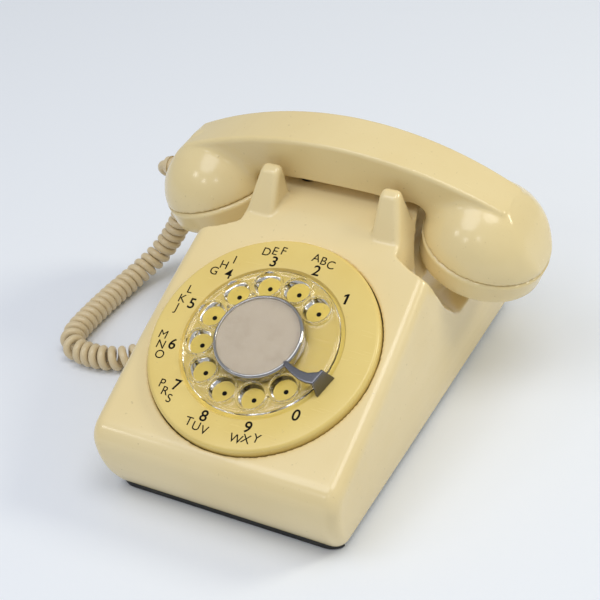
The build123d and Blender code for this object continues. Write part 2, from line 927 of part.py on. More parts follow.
def mainspring():
    """Flat spiral of half circles round the shaft."""
    spiral = []
    x = spring_inner_radius
    for half in range(2 * spring_turns):
        sign = 1 - 2 * (half % 2)
        radius = spring_inner_radius + half * spring_pitch / 2
        end = x - sign * 2 * radius
        spiral.append(ThreePointArc((x, 0), ((x + end) / 2, sign * radius), (end, 0)))
        x = end
    start = Plane((spring_inner_radius, 0, 0), x_dir=(1, 0, 0), z_dir=(0, 1, 0))
    section = start * Rectangle(spring_thickness, spring_width)
    return Pos(0, 0, rear_plate_w + spring_lift) * sweep(section, path=Wire(spiral))


def idler():
    """Idler: pinion on the main gear's level, wheel behind it, on one pin."""
    pinion_turn = idler_angle + 180 + 180 / idler_pinion_teeth
    low = main_low_w - gear_lap
    body = gear(idler_pinion_teeth, main_module, pinion_turn, low, main_low_w + gear_width + gear_lap)
    body = body + gear(idler_teeth, idler_module, governor_angle, idler_low_w, idler_low_w + gear_width)
    body = body + rod(idler_hub_radius, idler_low_w, main_low_w)
    return body + rod(pin_radius, rear_back_w, dial_plate_w - run_gap)


def pulse_cam():
    """Two-lobed cam that opens the contacts twice a turn of the idler."""
    top = cam_low_w + cam_width
    half = cam_lobe / 2
    lobes = rod(cam_reach, cam_low_w, top) & block(-cam_reach, cam_reach, -half, half, cam_low_w, top)
    body = lobes + rod(cam_hub_radius, cam_low_w, top)
    return body - rod(pin_radius, rear_back_w, 0)


def governor_shaft():
    turn = governor_angle + 180 + 180 / governor_teeth
    low = idler_low_w - gear_lap
    body = gear(governor_teeth, idler_module, turn, low, idler_low_w + gear_width + gear_lap)
    return body + rod(pin_radius, rear_back_w, dial_plate_w - run_gap)


def governor_bar():
    low = rear_plate_w + bar_lift
    high = low + bar_height
    half = bar_width / 2
    bar = block(-bar_reach, bar_reach, -half, half, low, high) + rod(bar_hub_radius, low, high)
    for side in (-1, 1):
        bar = bar + Pos(side * bar_reach, 0, 0) * rod(weight_radius, low, high)
    return bar - rod(pin_radius, low, high)


def governor_cup():
    low = rear_plate_w
    floor = low + governor_cup_floor
    high = low + governor_cup_height
    cup = rod(cup_outer_radius, low, high) - rod(cup_outer_radius - governor_cup_wall, floor, high)
    return cup - rod(pin_radius + run_gap, low, floor)


def pulse_springs():
    """Contact pile on the rear plate with two leaves that lie beside the cam."""
    half = pile_length / 2
    side_half = pile_width / 2
    pile = block(-half, half, -side_half, side_half, rear_plate_w, rear_plate_w + pile_height)
    thin = leaf_thickness / 2
    for side in (-1, 1):
        leaf = block(-thin, thin, -leaf_length, 0, cam_low_w, cam_low_w + cam_width)
        pile = pile + Pos(side * leaf_spread, 0, 0) * leaf
    return pile


leaf_x = idler_place[0] - cam_reach - run_gap - leaf_thickness / 2 - leaf_spread
pulse_springs_at = Pos(leaf_x, idler_place[1] + leaf_back)


for node, place, make in (
    ("dial_plate", Pos(), dial_plate),
    ("dial_rear_plate", Pos(), dial_rear_plate),
    ("dial_shaft", Pos(), dial_shaft),
    ("main_gear", Pos(), main_gear),
    ("mainspring", Pos(), mainspring),
    ("idler", idler_at, idler),
    ("pulse_cam", idler_at, pulse_cam),
    ("governor_shaft", governor_at, governor_shaft),
    ("governor_bar", governor_at, governor_bar),
    ("governor_cup", governor_at, governor_cup),
    ("pulse_springs", pulse_springs_at, pulse_springs),
):
    save(node, dial_at * place * make())
for number, angle in enumerate(post_angles, 1):
    save(f"dial_post_{number}", dial_at * Pos(*polar(post_circle, angle)) * dial_post())


# Carriers of the dial
def dial_bracket(side):
    """Leg from the base plate with a foot below and a flange under the dial plate."""
    half = bracket_half
    leg_x = dial_plate_radius - bracket_inset
    inner_x = leg_x - bracket_flange
    ends = [dial_at * Pos(0, v, dial_back_w) for v in (half, -half)]
    top = [(end.position.Y, end.position.Z) for end in ends]
    feet = [(-bracket_front, housing_floor), (bracket_rear, housing_floor)]
    leg = make_face(Polyline(*feet, *top, close=True))
    body = Pos(leg_x, 0, 0) * extrude(Plane.YZ * leg, sheet)
    foot_top = housing_floor + sheet
    body = body + block(inner_x, leg_x, -bracket_front, bracket_rear, housing_floor, foot_top)
    body = body + dial_at * block(inner_x, leg_x, -half, half, dial_back_w - sheet, dial_back_w)
    return mirror(body, Plane.YZ) if side < 0 else body


save("dial_bracket_left", dial_bracket(-1))
save("dial_bracket_right", dial_bracket(1))


# Ringer
gong_seat_z = gong_top_z - gong_wall


def ringer_frame():
    top = housing_floor + sheet
    front = coil_y - ringer_front
    frame = block(-ringer_half, ringer_half, front, gong_y + ringer_rear, housing_floor, top)
    for side in (-1, 1):
        stand = rod(screw_head_radius, housing_floor, gong_seat_z)
        stand = stand - rod(screw_radius + shaft_gap, top, gong_seat_z)
        frame = frame + Pos(side * gong_x, gong_y, 0) * stand
    hub_low = clapper_z - clapper_hub_half - run_gap
    pivot = rod(clapper_hub_radius, housing_floor, hub_low)
    pivot = pivot + rod(pin_radius, hub_low, clapper_z + clapper_hub_half + run_gap)
    return frame + Pos(0, clapper_y, 0) * pivot


def gong():
    """Bell cup, open below, with a rounded shoulder."""
    outer = rod(gong_radius, gong_low_z, gong_top_z)
    outer = fillet(outer.edges().group_by(Axis.Z)[-1], gong_round)
    inner = rod(gong_radius - gong_wall, gong_low_z, gong_seat_z)
    inner = fillet(inner.edges().group_by(Axis.Z)[-1], gong_round - gong_wall)
    return outer - inner - rod(screw_radius + shaft_gap, gong_low_z, gong_top_z)


def gong_screw():
    head = rod(screw_head_radius, gong_top_z, gong_top_z + screw_head_height)
    return rod(screw_radius, gong_top_z - screw_length, gong_top_z) + head


def clapper():
    """Armature bar, hub and rod with a ball between the gongs."""
    low = clapper_z - clapper_hub_half
    high = clapper_z + clapper_hub_half
    reach = gong_y - clapper_y
    hub = rod(clapper_hub_radius, low, high)
    bar = Pos(0, 0, clapper_z) * Box(2 * armature_half, armature_width, armature_height)
    arm = Pos(0, 0, clapper_z) * Rot(-90, 0, 0) * rod(clapper_rod_radius, 0, reach)
    ball = Pos(0, reach, clapper_z) * Sphere(clapper_ball_radius)
    return Pos(0, clapper_y, 0) * (hub + bar + arm + ball - rod(pin_radius + shaft_gap, low, high))


def ringer_core():
    """Core rod with two pole plates that stand on the frame and reach to the armature."""
    top = housing_floor + sheet
    core = Pos(0, coil_y, coil_z) * Rot(0, 90, 0) * rod(core_radius, -coil_half, coil_half)
    for side in (-1, 1):
        low, high = sorted((side * coil_half, side * (coil_half + pole_thickness)))
        tip = clapper_y - armature_width / 2 - pole_gap
        core = core + block(low, high, coil_y - pole_half, tip, top, coil_z + pole_half)
    return core


def ringer_coil():
    wound = Pos(0, coil_y, coil_z) * Rot(0, 90, 0)
    spool = rod(coil_radius, -coil_half, coil_half)
    for side in (-1, 1):
        low, high = sorted((side * coil_half, side * (coil_half - spool_flange)))
        spool = spool + rod(coil_radius + spool_rise, low, high)
    return wound * (spool - rod(core_radius, -coil_half, coil_half))


save("ringer_frame", ringer_frame())
save("ringer_core", ringer_core())
save("ringer_coil", ringer_coil())
save("clapper", clapper())
for name, side in (("left", -1), ("right", 1)):
    save(f"gong_{name}", Pos(side * gong_x, gong_y, 0) * gong())
    save(f"gong_screw_{name}", Pos(side * gong_x, gong_y, 0) * gong_screw())


# Ringer volume wheel
def volume_wheel():
    """Fluted thumb wheel on its own axle, reaching through the base plate."""
    wheel = rod(volume_radius, -volume_half, volume_half)
    for place in PolarLocations(volume_radius + flute_offset, volume_flutes):
        wheel = wheel - place * rod(flute_radius, -volume_half, volume_half)
    wheel = wheel + rod(volume_axle_radius, -volume_axle_half, volume_axle_half)
    return Pos(volume_x, volume_y, volume_z) * Rot(0, 90, 0) * wheel


def volume_bracket():
    inside = volume_half + volume_room
    outside = inside + sheet
    half = volume_radius / 2
    high = volume_z + volume_radius + volume_room
    body = block(-outside, outside, -half, half, housing_floor, high + sheet)
    body = Pos(volume_x, volume_y, 0) * (body - block(-inside, inside, -half, half, housing_floor, high))
    axle = Pos(volume_x, volume_y, volume_z) * Rot(0, 90, 0)
    return body - axle * rod(volume_axle_radius + shaft_gap, -outside, outside)


save("volume_wheel", volume_wheel())
save("volume_bracket", volume_bracket())


# Hook switch
def hookswitch_bracket():
    """Upright plate with a foot, and two cheeks that carry the lever's pin."""
    half = hook_half
    top = lever_pin_z - hook_drop
    foot_y = hook_plate_y - hook_foot
    plate = block(-half, half, hook_plate_y, hook_plate_y + sheet, housing_floor, top)
    plate = plate + block(-half, half, foot_y, hook_plate_y, housing_floor, housing_floor + sheet)
    cheek_end = lever_pin_y + cheek_edge
    for side in (-1, 1):
        low, high = sorted((side * half, side * (half - sheet)))
        cheek = block(low, high, hook_plate_y, cheek_end, top - cheek_low, lever_pin_z + cheek_edge)
        plate = plate + cheek
    pin = Pos(0, lever_pin_y, lever_pin_z) * Rot(0, 90, 0) * rod(pin_radius, -half, half)
    return plate + pin


def hookswitch_lever():
    """Flap under both plungers, on a tube round the pin, with a tongue in front for the contacts."""
    tube_half = hook_half - sheet - run_gap
    top = plunger_low_z - lever_slack
    low = top - lever_thickness
    half = lever_thickness / 2
    neck_end = lever_pin_y + lever_neck
    pin_at = Pos(0, lever_pin_y, lever_pin_z) * Rot(0, 90, 0)
    lever = pin_at * rod(lever_tube_radius, -tube_half, tube_half)
    lever = lever + block(-tube_half, tube_half, lever_pin_y, neck_end, low, top)
    lever = lever + block(-lever_half, lever_half, lever_pin_y + lever_shoulder, lever_end_y, low, top)
    tongue = block(-tongue_half, tongue_half, -lever_neck, 0, -half, half)
    lever = lever + Pos(0, lever_pin_y, lever_pin_z) * tongue
    return lever - pin_at * rod(pin_radius + shaft_gap, -tube_half, tube_half)


def hookswitch_springs():
    """Contact pile on the bracket: a block with three leaves up to the lever's tongue."""
    front = hook_plate_y - contact_depth
    half = contact_leaf_half
    top = lever_pin_z - contact_leaf_drop
    pile = block(-contact_half, contact_half, front, hook_plate_y, contact_low_z, contact_high_z)
    for index in range(3):
        y = front + contact_leaf_step * (index + 0.5)
        pile = pile + block(-half, half, y, y + leaf_thickness, contact_leaf_low_z, top)
    return pile


def plunger():
    """Post under the grip, with a flange below the saddle; its top clears the grip's arched underside."""
    reach = plunger_x + plunger_radius - handset_x
    top = bulge(strip_low_z, 0, strip_low_radius, reach) - run_gap
    return turned(
        [
            (0, plunger_low_z),
            (plunger_radius + plunger_flange, plunger_low_z),
            (plunger_radius + plunger_flange, plunger_low_z + plunger_flange_height),
            (plunger_radius, plunger_low_z + plunger_flange_height),
            (plunger_radius, top - plunger_edge),
            (plunger_radius - plunger_edge, top),
            (0, top),
        ]
    )


save("hookswitch_bracket", hookswitch_bracket())
save("hookswitch_lever", hookswitch_lever())
save("hookswitch_springs", hookswitch_springs())
for name, side in (("left", -1), ("right", 1)):
    save(f"plunger_{name}", Pos(side * plunger_x, handset_y, 0) * plunger())


# Network unit
def network_unit():
    box = block(-network_half, network_half, network_front_y, network_rear_y, housing_floor, network_top_z)
    box = fillet(box.edges().filter_by(Axis.Z) + box.edges().group_by(Axis.Z)[-1], network_round)
    terminal = rod(terminal_radius, housing_floor, network_top_z + terminal_height)
    for step in range(-2, 3):
        for y in terminal_rows:
            box = box + Pos(step * terminal_step, y, 0) * terminal
    return box


save("network_unit", network_unit())


# Cord entries
def cord_grommet():
    """Rubber bush in the housing's wall, with a flange outside and the cord's bore."""
    bore = cord_wire / 2 + cord_room
    return turned(
        [
            (bore, -wall - flange_height),
            (grommet_radius, -wall - flange_height),
            (grommet_radius, 0),
            (grommet_radius + flange_lip, 0),
            (grommet_radius + flange_lip / 2, flange_height),
            (bore, flange_height),
        ]
    )


flange_top_z = grommet_z + grommet_radius + flange_lip
grommet_x = bulge(half_width, widest_z, side_radius, flange_top_z) + shaft_gap
inlet_y = bulge(rear_y, shoulder_z, rear_sweep, flange_top_z) + shaft_gap
save("cord_grommet", Pos(-grommet_x, grommet_y, grommet_z) * Rot(0, -90, 0) * cord_grommet())
save("line_cord_inlet", Pos(inlet_x, inlet_y, grommet_z) * Rot(-90, 0, 0) * cord_grommet())


# Curly handset cord
def route_line():
    """The route as a quadratic spline that has its points as control points, in even steps."""
    points = [Vector(*point) for point in cord_route]
    joints = [(a + b) * 0.5 for a, b in zip(points[1:-2], points[2:-1])]
    joints = [points[0]] + joints + [points[-1]]
    line = []
    for start, control, end in zip(joints, points[1:-1], joints[1:]):
        steps = round(((control - start).length + (end - control).length) / route_step)
        for step in range(steps):
            t = step / steps
            line.append(start * (1 - t) ** 2 + control * (2 * t * (1 - t)) + end * t**2)
    return line + [points[-1]]


def cord_wire_line():
    """The wire's middle line wound round the route, its quarter-turn marks and the route's bends."""
    line = route_line()
    runs = [(b - a).length for a, b in zip(line, line[1:])]
    ways = [(b - a).normalized() for a, b in zip(line, line[1:])]
    total = sum(runs)
    side = ways[0].cross(Vector(0, 0, 1)).normalized()
    done = 0.0
    turns = 0.0
    mark = 0.0
    bends = []
    wound = []
    marks = []
    for index, way in enumerate(ways):
        side = (side - way * side.dot(way)).normalized()
        bend = radians(ways[max(index - 1, 0)].get_angle(way)) / runs[index]
        bends.append(bend)
        left = total - coil_stop - done
        grown = min(1.0, max(0.0, min(done - coil_start, left) / coil_growth))
        loose = max(0.0, 1 - left / loose_length)
        pitch = (cord_wire + coil_gap) / (1 - min(bend_limit, coil_mean_radius * bend))
        pitch += loose_pitch * loose + growth_pitch * (1 - grown)
        if grown:
            turns += runs[index] / pitch
        mark += runs[index] * (4 / pitch if grown else 1 / plain_step)
        out = side * cos(2 * pi * turns) + way.cross(side) * sin(2 * pi * turns)
        wound.append(line[index] + out * (coil_mean_radius * grown**2 * (3 - 2 * grown)))
        marks.append(mark)
        done += runs[index]
    return wound, marks, bends, turns


def biarc(start, start_way, end, end_way):
    """Two arcs that join two points with given directions, or a line where these agree."""
    chord = end - start
    if start_way.dot(end_way) > 1 - 1e-9:
        return [Edge.make_line(start, end)]
    both = start_way + end_way
    spread = 2 * (1 - start_way.dot(end_way))
    along = chord.dot(both)
    reach = (sqrt(along**2 + spread * chord.dot(chord)) - along) / spread
    first = start + start_way * reach
    second = end - end_way * reach
    middle = (first + second) * 0.5
    return [
        Edge.make_tangent_arc(start, start_way, middle),
        Edge.make_tangent_arc(middle, second - first, end),
    ]


def least_gap(wound):
    """Least clear distance between stretches of the wire that are over two diameters apart along it."""
    points = [(p.X, p.Y, p.Z) for p in wound[::2]]
    lengths = [0.0]
    for a, b in zip(points, points[1:]):
        lengths.append(lengths[-1] + hypot(b[0] - a[0], b[1] - a[1], b[2] - a[2]))
    least = 1000.0
    later = 0
    for index, (x, y, z) in enumerate(points):
        while later < len(points) and lengths[later] - lengths[index] < 2.2 * cord_wire:
            later += 1
        for other_x, other_y, other_z in points[later:]:
            least = min(least, (x - other_x) ** 2 + (y - other_y) ** 2 + (z - other_z) ** 2)
    return sqrt(least) - cord_wire


def handset_cord():
    wound, marks, bends, turns = cord_wire_line()
    last = len(wound) - 1
    knots = [k for k in range(1, last) if int(marks[k]) > int(marks[k - 1])]
    knots = [0] + knots + [last]
    ways = [(wound[min(k + 2, last)] - wound[max(k - 2, 0)]).normalized() for k in knots]
    arcs = []
    for index in range(len(knots) - 1):
        start, end = wound[knots[index]], wound[knots[index + 1]]
        arcs += biarc(start, ways[index], end, ways[index + 1])
    tightest = min(arc.radius for arc in arcs if arc.geom_type == GeomType.CIRCLE)
    lowest = min(point.Z for point in wound) - cord_wire / 2
    print(f"cord curls {turns:.1f}, tightest route radius {1 / max(bends):.1f} mm")
    print(f"cord tightest wire radius {tightest:.1f} mm, lowest {lowest:.2f} mm")
    print(f"cord wire length {sum(arc.length for arc in arcs):.0f} mm")
    print(f"cord least gap to itself {least_gap(wound):.2f} mm")
    section = Plane(wound[0], z_dir=ways[0]) * Circle(cord_wire / 2)
    return sweep(section, path=Wire(arcs))


save("handset_cord", handset_cord())
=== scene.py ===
import json
import math

import bmesh
import bpy
from mathutils import Matrix, Vector


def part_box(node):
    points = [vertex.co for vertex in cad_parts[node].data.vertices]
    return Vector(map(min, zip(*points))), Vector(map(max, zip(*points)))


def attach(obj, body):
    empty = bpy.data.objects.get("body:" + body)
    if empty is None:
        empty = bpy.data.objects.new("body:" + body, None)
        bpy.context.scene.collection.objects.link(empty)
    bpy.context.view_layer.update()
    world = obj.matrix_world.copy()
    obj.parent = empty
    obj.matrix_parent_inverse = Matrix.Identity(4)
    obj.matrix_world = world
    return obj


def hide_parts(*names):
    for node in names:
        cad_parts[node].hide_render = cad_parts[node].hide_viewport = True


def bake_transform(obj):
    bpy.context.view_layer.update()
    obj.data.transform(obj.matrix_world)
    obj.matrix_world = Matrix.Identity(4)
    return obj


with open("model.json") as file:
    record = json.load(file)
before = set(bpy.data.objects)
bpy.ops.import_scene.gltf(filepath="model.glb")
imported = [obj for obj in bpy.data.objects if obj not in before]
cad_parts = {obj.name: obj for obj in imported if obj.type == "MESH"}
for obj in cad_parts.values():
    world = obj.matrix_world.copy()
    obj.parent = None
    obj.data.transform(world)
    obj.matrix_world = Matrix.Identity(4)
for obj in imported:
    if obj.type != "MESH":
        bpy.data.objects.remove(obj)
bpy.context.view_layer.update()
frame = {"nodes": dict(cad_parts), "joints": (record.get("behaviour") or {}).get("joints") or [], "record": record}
mm = 0.001


# Camera
# A long lens looks down on the telephone from its right front.
# The picture leans a little to the left, so the camera is rolled.
camera_aim = Vector((-2.33, 2.47, 56.72)) * mm
camera_distance = 812.8 * mm
camera_turn = math.radians(32.105)
camera_rise = math.radians(37.864)
camera_roll = math.radians(-6.905)
camera_sensor_width = 36
camera_lens = 98.5

camera_data = bpy.data.cameras.new("camera")
camera_data.sensor_width = camera_sensor_width
camera_data.lens = camera_lens
camera = bpy.data.objects.new("camera", camera_data)
bpy.context.scene.collection.objects.link(camera)
camera_facing = Matrix.Rotation(camera_turn, 4, "Z")
camera_facing = camera_facing @ Matrix.Rotation(math.pi / 2 - camera_rise, 4, "X")
camera_facing = camera_facing @ Matrix.Rotation(camera_roll, 4, "Z")
camera_back = Matrix.Translation((0, 0, camera_distance))
camera.matrix_world = Matrix.Translation(camera_aim) @ camera_facing @ camera_back
bpy.context.scene.camera = camera
bpy.context.scene.view_settings.view_transform = "Standard"


# Floor and studio light
# A pale table under soft lamps overhead and behind on the right, with three weak ones in front.
# The table is matt, so that it keeps the telephone's shadow.
floor_half = 3.0
floor_colour = (0.82, 0.85, 0.905, 1)
floor_roughness = 0.6
floor_shine = 0.2
world_colour = (0.93, 0.96, 1.0, 1)
world_level = 0.455
lamp_distance = 1.6
plain_light = (1, 1, 1)
cool_light = (0.90, 0.93, 1)
warm_light = (1, 0.96, 0.78)
# Each lamp has a name, its turn and rise in degrees, its size in metres, its power in watts and a colour.
lamps = [
    ("lamp_front", -18, 39, 0.20, 0.65, plain_light),
    ("lamp_left", -44, 40, 0.20, 0.8, plain_light),
    ("lamp_right", 12, 46, 0.20, 0.5, plain_light),
    ("lamp_over", -36, 66, 0.80, 4.7, cool_light),
    ("lamp_top", 75, 76, 0.80, 5.8, plain_light),
    ("lamp_behind", 121, 39, 0.45, 6.8, warm_light),
]


def linked(obj):
    bpy.context.scene.collection.objects.link(obj)
    return obj


def new_piece(name, mesh):
    return linked(bpy.data.objects.new(name, mesh))


def new_material(name):
    material = bpy.data.materials.new(name)
    material.use_nodes = True
    return material, material.node_tree, material.node_tree.nodes["Principled BSDF"]


def dress(obj, material):
    obj.data.materials.clear()
    obj.data.materials.append(material)
    return obj


floor_material, _, floor_shader = new_material("pale_table")
floor_shader.inputs["Base Color"].default_value = floor_colour
floor_shader.inputs["Roughness"].default_value = floor_roughness
floor_shader.inputs["Specular IOR Level"].default_value = floor_shine
floor_mesh = bpy.data.meshes.new("floor")
floor_corners = [(x * floor_half, y * floor_half, 0) for x, y in ((-1, -1), (1, -1), (1, 1), (-1, 1))]
floor_mesh.from_pydata(floor_corners, [], [(0, 1, 2, 3)])
dress(new_piece("floor", floor_mesh), floor_material)

world = bpy.data.worlds.new("studio")
bpy.context.scene.world = world
world.use_nodes = True
world_shader = world.node_tree.nodes["Background"]
world_shader.inputs["Color"].default_value = world_colour
world_shader.inputs["Strength"].default_value = world_level

for lamp_name, lamp_turn, lamp_rise, lamp_size, lamp_power, lamp_colour in lamps:
    lamp_data = bpy.data.lights.new(lamp_name, "AREA")
    lamp_data.shape = "DISK"
    lamp_data.size = lamp_size
    lamp_data.energy = lamp_power
    lamp_data.color = lamp_colour
    lamp = linked(bpy.data.objects.new(lamp_name, lamp_data))
    turned_to = Matrix.Rotation(math.radians(lamp_turn), 4, "Z")
    raised_to = Matrix.Rotation(math.radians(90 - lamp_rise), 4, "X")
    lamp.matrix_world = turned_to @ raised_to @ Matrix.Translation((0, 0, lamp_distance))


# Base plate and feet
# A zinc-plated steel sheet closes the housing from below, held by screws in its three bosses.
# Four black rubber feet are pressed through it, and a black strip on its front edge paints the dark shade under
# the housing's front wall.
bump_height = 0.1 * mm
edge_samples = 6
metal_bloom_scale = 45.0
metal_line_scale = (2500.0, 120.0, 120.0)
skin_dust_scale = 130.0
skin_dust_roughness = 0.2
skin_grain_scale = 2600.0


def add_node(tree, kind, inputs, **settings):
    """Adds a node, links those inputs that are sockets and sets the others."""
    made = tree.nodes.new(kind)
    for name, value in settings.items():
        setattr(made, name, value)
    for name, value in inputs.items():
        if isinstance(value, bpy.types.NodeSocket):
            tree.links.new(value, made.inputs[name])
        else:
            made.inputs[name].default_value = value
    return made


def ramped(tree, value, low, high, to_low, to_high):
    limits = {"Value": value, "From Min": low, "From Max": high, "To Min": to_low, "To Max": to_high}
    return add_node(tree, "ShaderNodeMapRange", limits).outputs["Result"]


def mixed_colours(tree, share, first, second):
    mix = add_node(tree, "ShaderNodeMix", {0: share, 6: first, 7: second}, data_type="RGBA")
    return mix.outputs[2]


def reckoned(tree, operation, first, second):
    return add_node(tree, "ShaderNodeMath", {0: first, 1: second}, operation=operation).outputs["Value"]


def noise(tree, place, scale, detail):
    sizes = {"Vector": place, "Scale": scale, "Detail": detail}
    return add_node(tree, "ShaderNodeTexNoise", sizes).outputs["Fac"]


def stretched(tree, place, scale):
    return add_node(tree, "ShaderNodeMapping", {"Vector": place, "Scale": scale}).outputs["Vector"]


def new_group(name, colours, numbers):
    """A shader group with colour and number inputs, and the three outputs of every finish."""
    tree = bpy.data.node_groups.new(name, "ShaderNodeTree")
    for label in colours:
        tree.interface.new_socket(label, in_out="INPUT", socket_type="NodeSocketColor")
    for label in numbers:
        tree.interface.new_socket(label, in_out="INPUT", socket_type="NodeSocketFloat")
    tree.interface.new_socket("Colour", in_out="OUTPUT", socket_type="NodeSocketColor")
    tree.interface.new_socket("Roughness", in_out="OUTPUT", socket_type="NodeSocketFloat")
    tree.interface.new_socket("Height", in_out="OUTPUT", socket_type="NodeSocketFloat")
    given = tree.nodes.new("NodeGroupInput").outputs
    place = tree.nodes.new("ShaderNodeTexCoord").outputs["Object"]
    return tree, given, place


def group_result(tree, colour, roughness, height):
    add_node(tree, "NodeGroupOutput", {"Colour": colour, "Roughness": roughness, "Height": height})


def finished(name, group, values, bump, edge=0.0, **sockets):
    """A material with a finish group's colour, roughness and height on its own shader."""
    material, tree, shader = new_material(name)
    placed = add_node(tree, "ShaderNodeGroup", {}, node_tree=group)
    for label, value in values.items():
        placed.inputs[label].default_value = value
    tree.links.new(placed.outputs["Colour"], shader.inputs["Base Color"])
    tree.links.new(placed.outputs["Roughness"], shader.inputs["Roughness"])
    raised = {"Height": placed.outputs["Height"], "Strength": bump, "Distance": bump_height}
    if edge:
        rounded = add_node(tree, "ShaderNodeBevel", {"Radius": edge}, samples=edge_samples)
        raised["Normal"] = rounded.outputs["Normal"]
    tree.links.new(add_node(tree, "ShaderNodeBump", raised).outputs["Normal"], shader.inputs["Normal"])
    for label, value in sockets.items():
        shader.inputs[label.replace("_", " ")].default_value = value
    return material


worn_metal, given, place = new_group("worn_metal", ("Bright", "Dull"), ("Polish", "Wear"))
metal_bloom = noise(worn_metal, place, metal_bloom_scale, detail=4.0)
metal_bloom = ramped(worn_metal, metal_bloom, 0.35, 0.75, 0.0, 1.0)
metal_lines = noise(worn_metal, stretched(worn_metal, place, metal_line_scale), scale=1.0, detail=2.0)
metal_rough = reckoned(worn_metal, "MULTIPLY", metal_bloom, given["Wear"])
metal_rough = reckoned(worn_metal, "ADD", metal_rough, given["Polish"])
metal_colour = mixed_colours(worn_metal, metal_bloom, given["Bright"], given["Dull"])
group_result(worn_metal, metal_colour, metal_rough, metal_lines)

zinc_values = {"Bright": (0.60, 0.61, 0.60, 1), "Dull": (0.42, 0.42, 0.40, 1), "Polish": 0.30, "Wear": 0.25}
zinc_sheet = finished("zinc_sheet", worn_metal, zinc_values, bump=0.15, Metallic=1.0)
dress(frame["nodes"]["base_plate"], zinc_sheet)

matt_skin, given, place = new_group("matt_skin", ("Body", "Dust"), ("Matt", "Grain"))
skin_dust = noise(matt_skin, place, skin_dust_scale, detail=5.0)
skin_dust = ramped(matt_skin, skin_dust, 0.50, 0.80, 0.0, 0.6)
skin_grain = noise(matt_skin, place, skin_grain_scale, detail=2.0)
skin_rough = reckoned(matt_skin, "MULTIPLY", skin_dust, skin_dust_roughness)
skin_rough = reckoned(matt_skin, "ADD", given["Matt"], skin_rough)
skin_height = reckoned(matt_skin, "MULTIPLY", skin_grain, given["Grain"])
skin_colour = mixed_colours(matt_skin, skin_dust, given["Body"], given["Dust"])
group_result(matt_skin, skin_colour, skin_rough, skin_height)

rubber_values = {"Body": (0.012, 0.012, 0.012, 1), "Dust": (0.06, 0.055, 0.05, 1), "Matt": 0.55, "Grain": 1.0}
black_rubber = finished("black_rubber", matt_skin, rubber_values, bump=0.35)
for corner in ("front_left", "front_right", "rear_left", "rear_right"):
    dress(frame["nodes"]["foot_" + corner], black_rubber)

strip_lip = 0.6 * mm
strip_depth = 1.8 * mm
strip_low = 0.6 * mm
strip_fit = 0.02 * mm
strip_wrap = math.radians(60)
strip_steps = 8
plate_corner = 9.0 * mm
plate_low, plate_high = (Vector(corner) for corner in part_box("base_plate"))


def front_edge(grow):
    """Points along the plate's front edge and round its two front corners, grown outwards."""
    forwards = 1.5 * math.pi
    reach = plate_corner + grow
    middle_y = plate_low.y + plate_corner
    corners = (
        (plate_low.x + plate_corner, forwards - strip_wrap),
        (plate_high.x - plate_corner, forwards),
    )
    points = []
    for middle_x, start in corners:
        for step in range(strip_steps + 1):
            angle = start + strip_wrap * step / strip_steps
            points.append((middle_x + reach * math.cos(angle), middle_y + reach * math.sin(angle)))
    return points


strip_section = [
    (strip_lip, strip_low),
    (strip_lip, plate_high.z - strip_fit),
    (strip_fit, plate_high.z - strip_fit),
    (strip_fit, plate_low.z - strip_fit),
    (-strip_depth, plate_low.z - strip_fit),
    (-strip_depth, strip_low),
]
strip_shape = bmesh.new()
strip_rails = []
for grow, height in strip_section:
    strip_rails.append([strip_shape.verts.new((x, y, height)) for x, y in front_edge(grow)])
for first, second in zip(strip_rails, strip_rails[1:] + strip_rails[:1]):
    for index in range(1, len(first)):
        strip_shape.faces.new((first[index - 1], first[index], second[index], second[index - 1]))
strip_shape.faces.new([rail[0] for rail in strip_rails])
strip_shape.faces.new([rail[-1] for rail in strip_rails])
bmesh.ops.recalc_face_normals(strip_shape, faces=strip_shape.faces)
strip_mesh = bpy.data.meshes.new("shade_gap_strip")
strip_shape.to_mesh(strip_mesh)
strip_shape.free()
# The black strip is painted shade: it darkens the gap between the housing's front wall and the table.
shade_gap_strip = dress(new_piece("painted_shade_strip", strip_mesh), black_rubber)
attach(shade_gap_strip, "base")


# Housing
# The shell is one injection moulding in glossy ivory plastic, yellowed by age in soft patches.
# Its edges are rounded by the mould: the ears, the saddle, the scoops and the recess at the rear.
# The solid is meshed anew in even faces, because its long thin ones shade the walls in pleats.
housing_edge = 0.5 * mm
housing_voxel = 0.85 * mm
housing_rounds = 3
housing_share = 0.38
merge_distance = 0.002 * mm
age_speck_scale = 520.0
age_scratch_scale = (80.0, 950.0, 420.0)
age_scratch_depth = 0.3
age_skin_scale = 300.0


def evaluated_mesh(obj):
    depsgraph = bpy.context.evaluated_depsgraph_get()
    return bpy.data.meshes.new_from_object(obj.evaluated_get(depsgraph))


def merged_copy(node):
    """A copy of a CAD node's mesh with its loose triangles joined."""
    shape = bmesh.new()
    shape.from_mesh(frame["nodes"][node].data)
    bmesh.ops.remove_doubles(shape, verts=shape.verts, dist=merge_distance)
    mesh = bpy.data.meshes.new(node + "_copy")
    shape.to_mesh(mesh)
    shape.free()
    return mesh


def settled(obj, sharp=None):
    """Turns the modifiers into plain mesh, shaded smooth, with edges past a sharp angle kept."""
    obj.data = evaluated_mesh(obj)
    obj.modifiers.clear()
    obj.data.shade_smooth()
    if sharp:
        obj.data.set_sharp_from_angle(angle=math.radians(sharp))
    return obj


def moulded_piece(name, mesh, voxel, rounds, share=1.0):
    """Meshes a shape anew in even faces, rounds it and thins it to a share of them."""
    piece = new_piece(name, mesh)
    remesh = piece.modifiers.new("mould", "REMESH")
    remesh.mode = "VOXEL"
    remesh.voxel_size = voxel
    smooth = piece.modifiers.new("round", "SMOOTH")
    smooth.iterations = rounds
    if share < 1:
        piece.modifiers.new("thin", "DECIMATE").ratio = share
    return settled(piece)


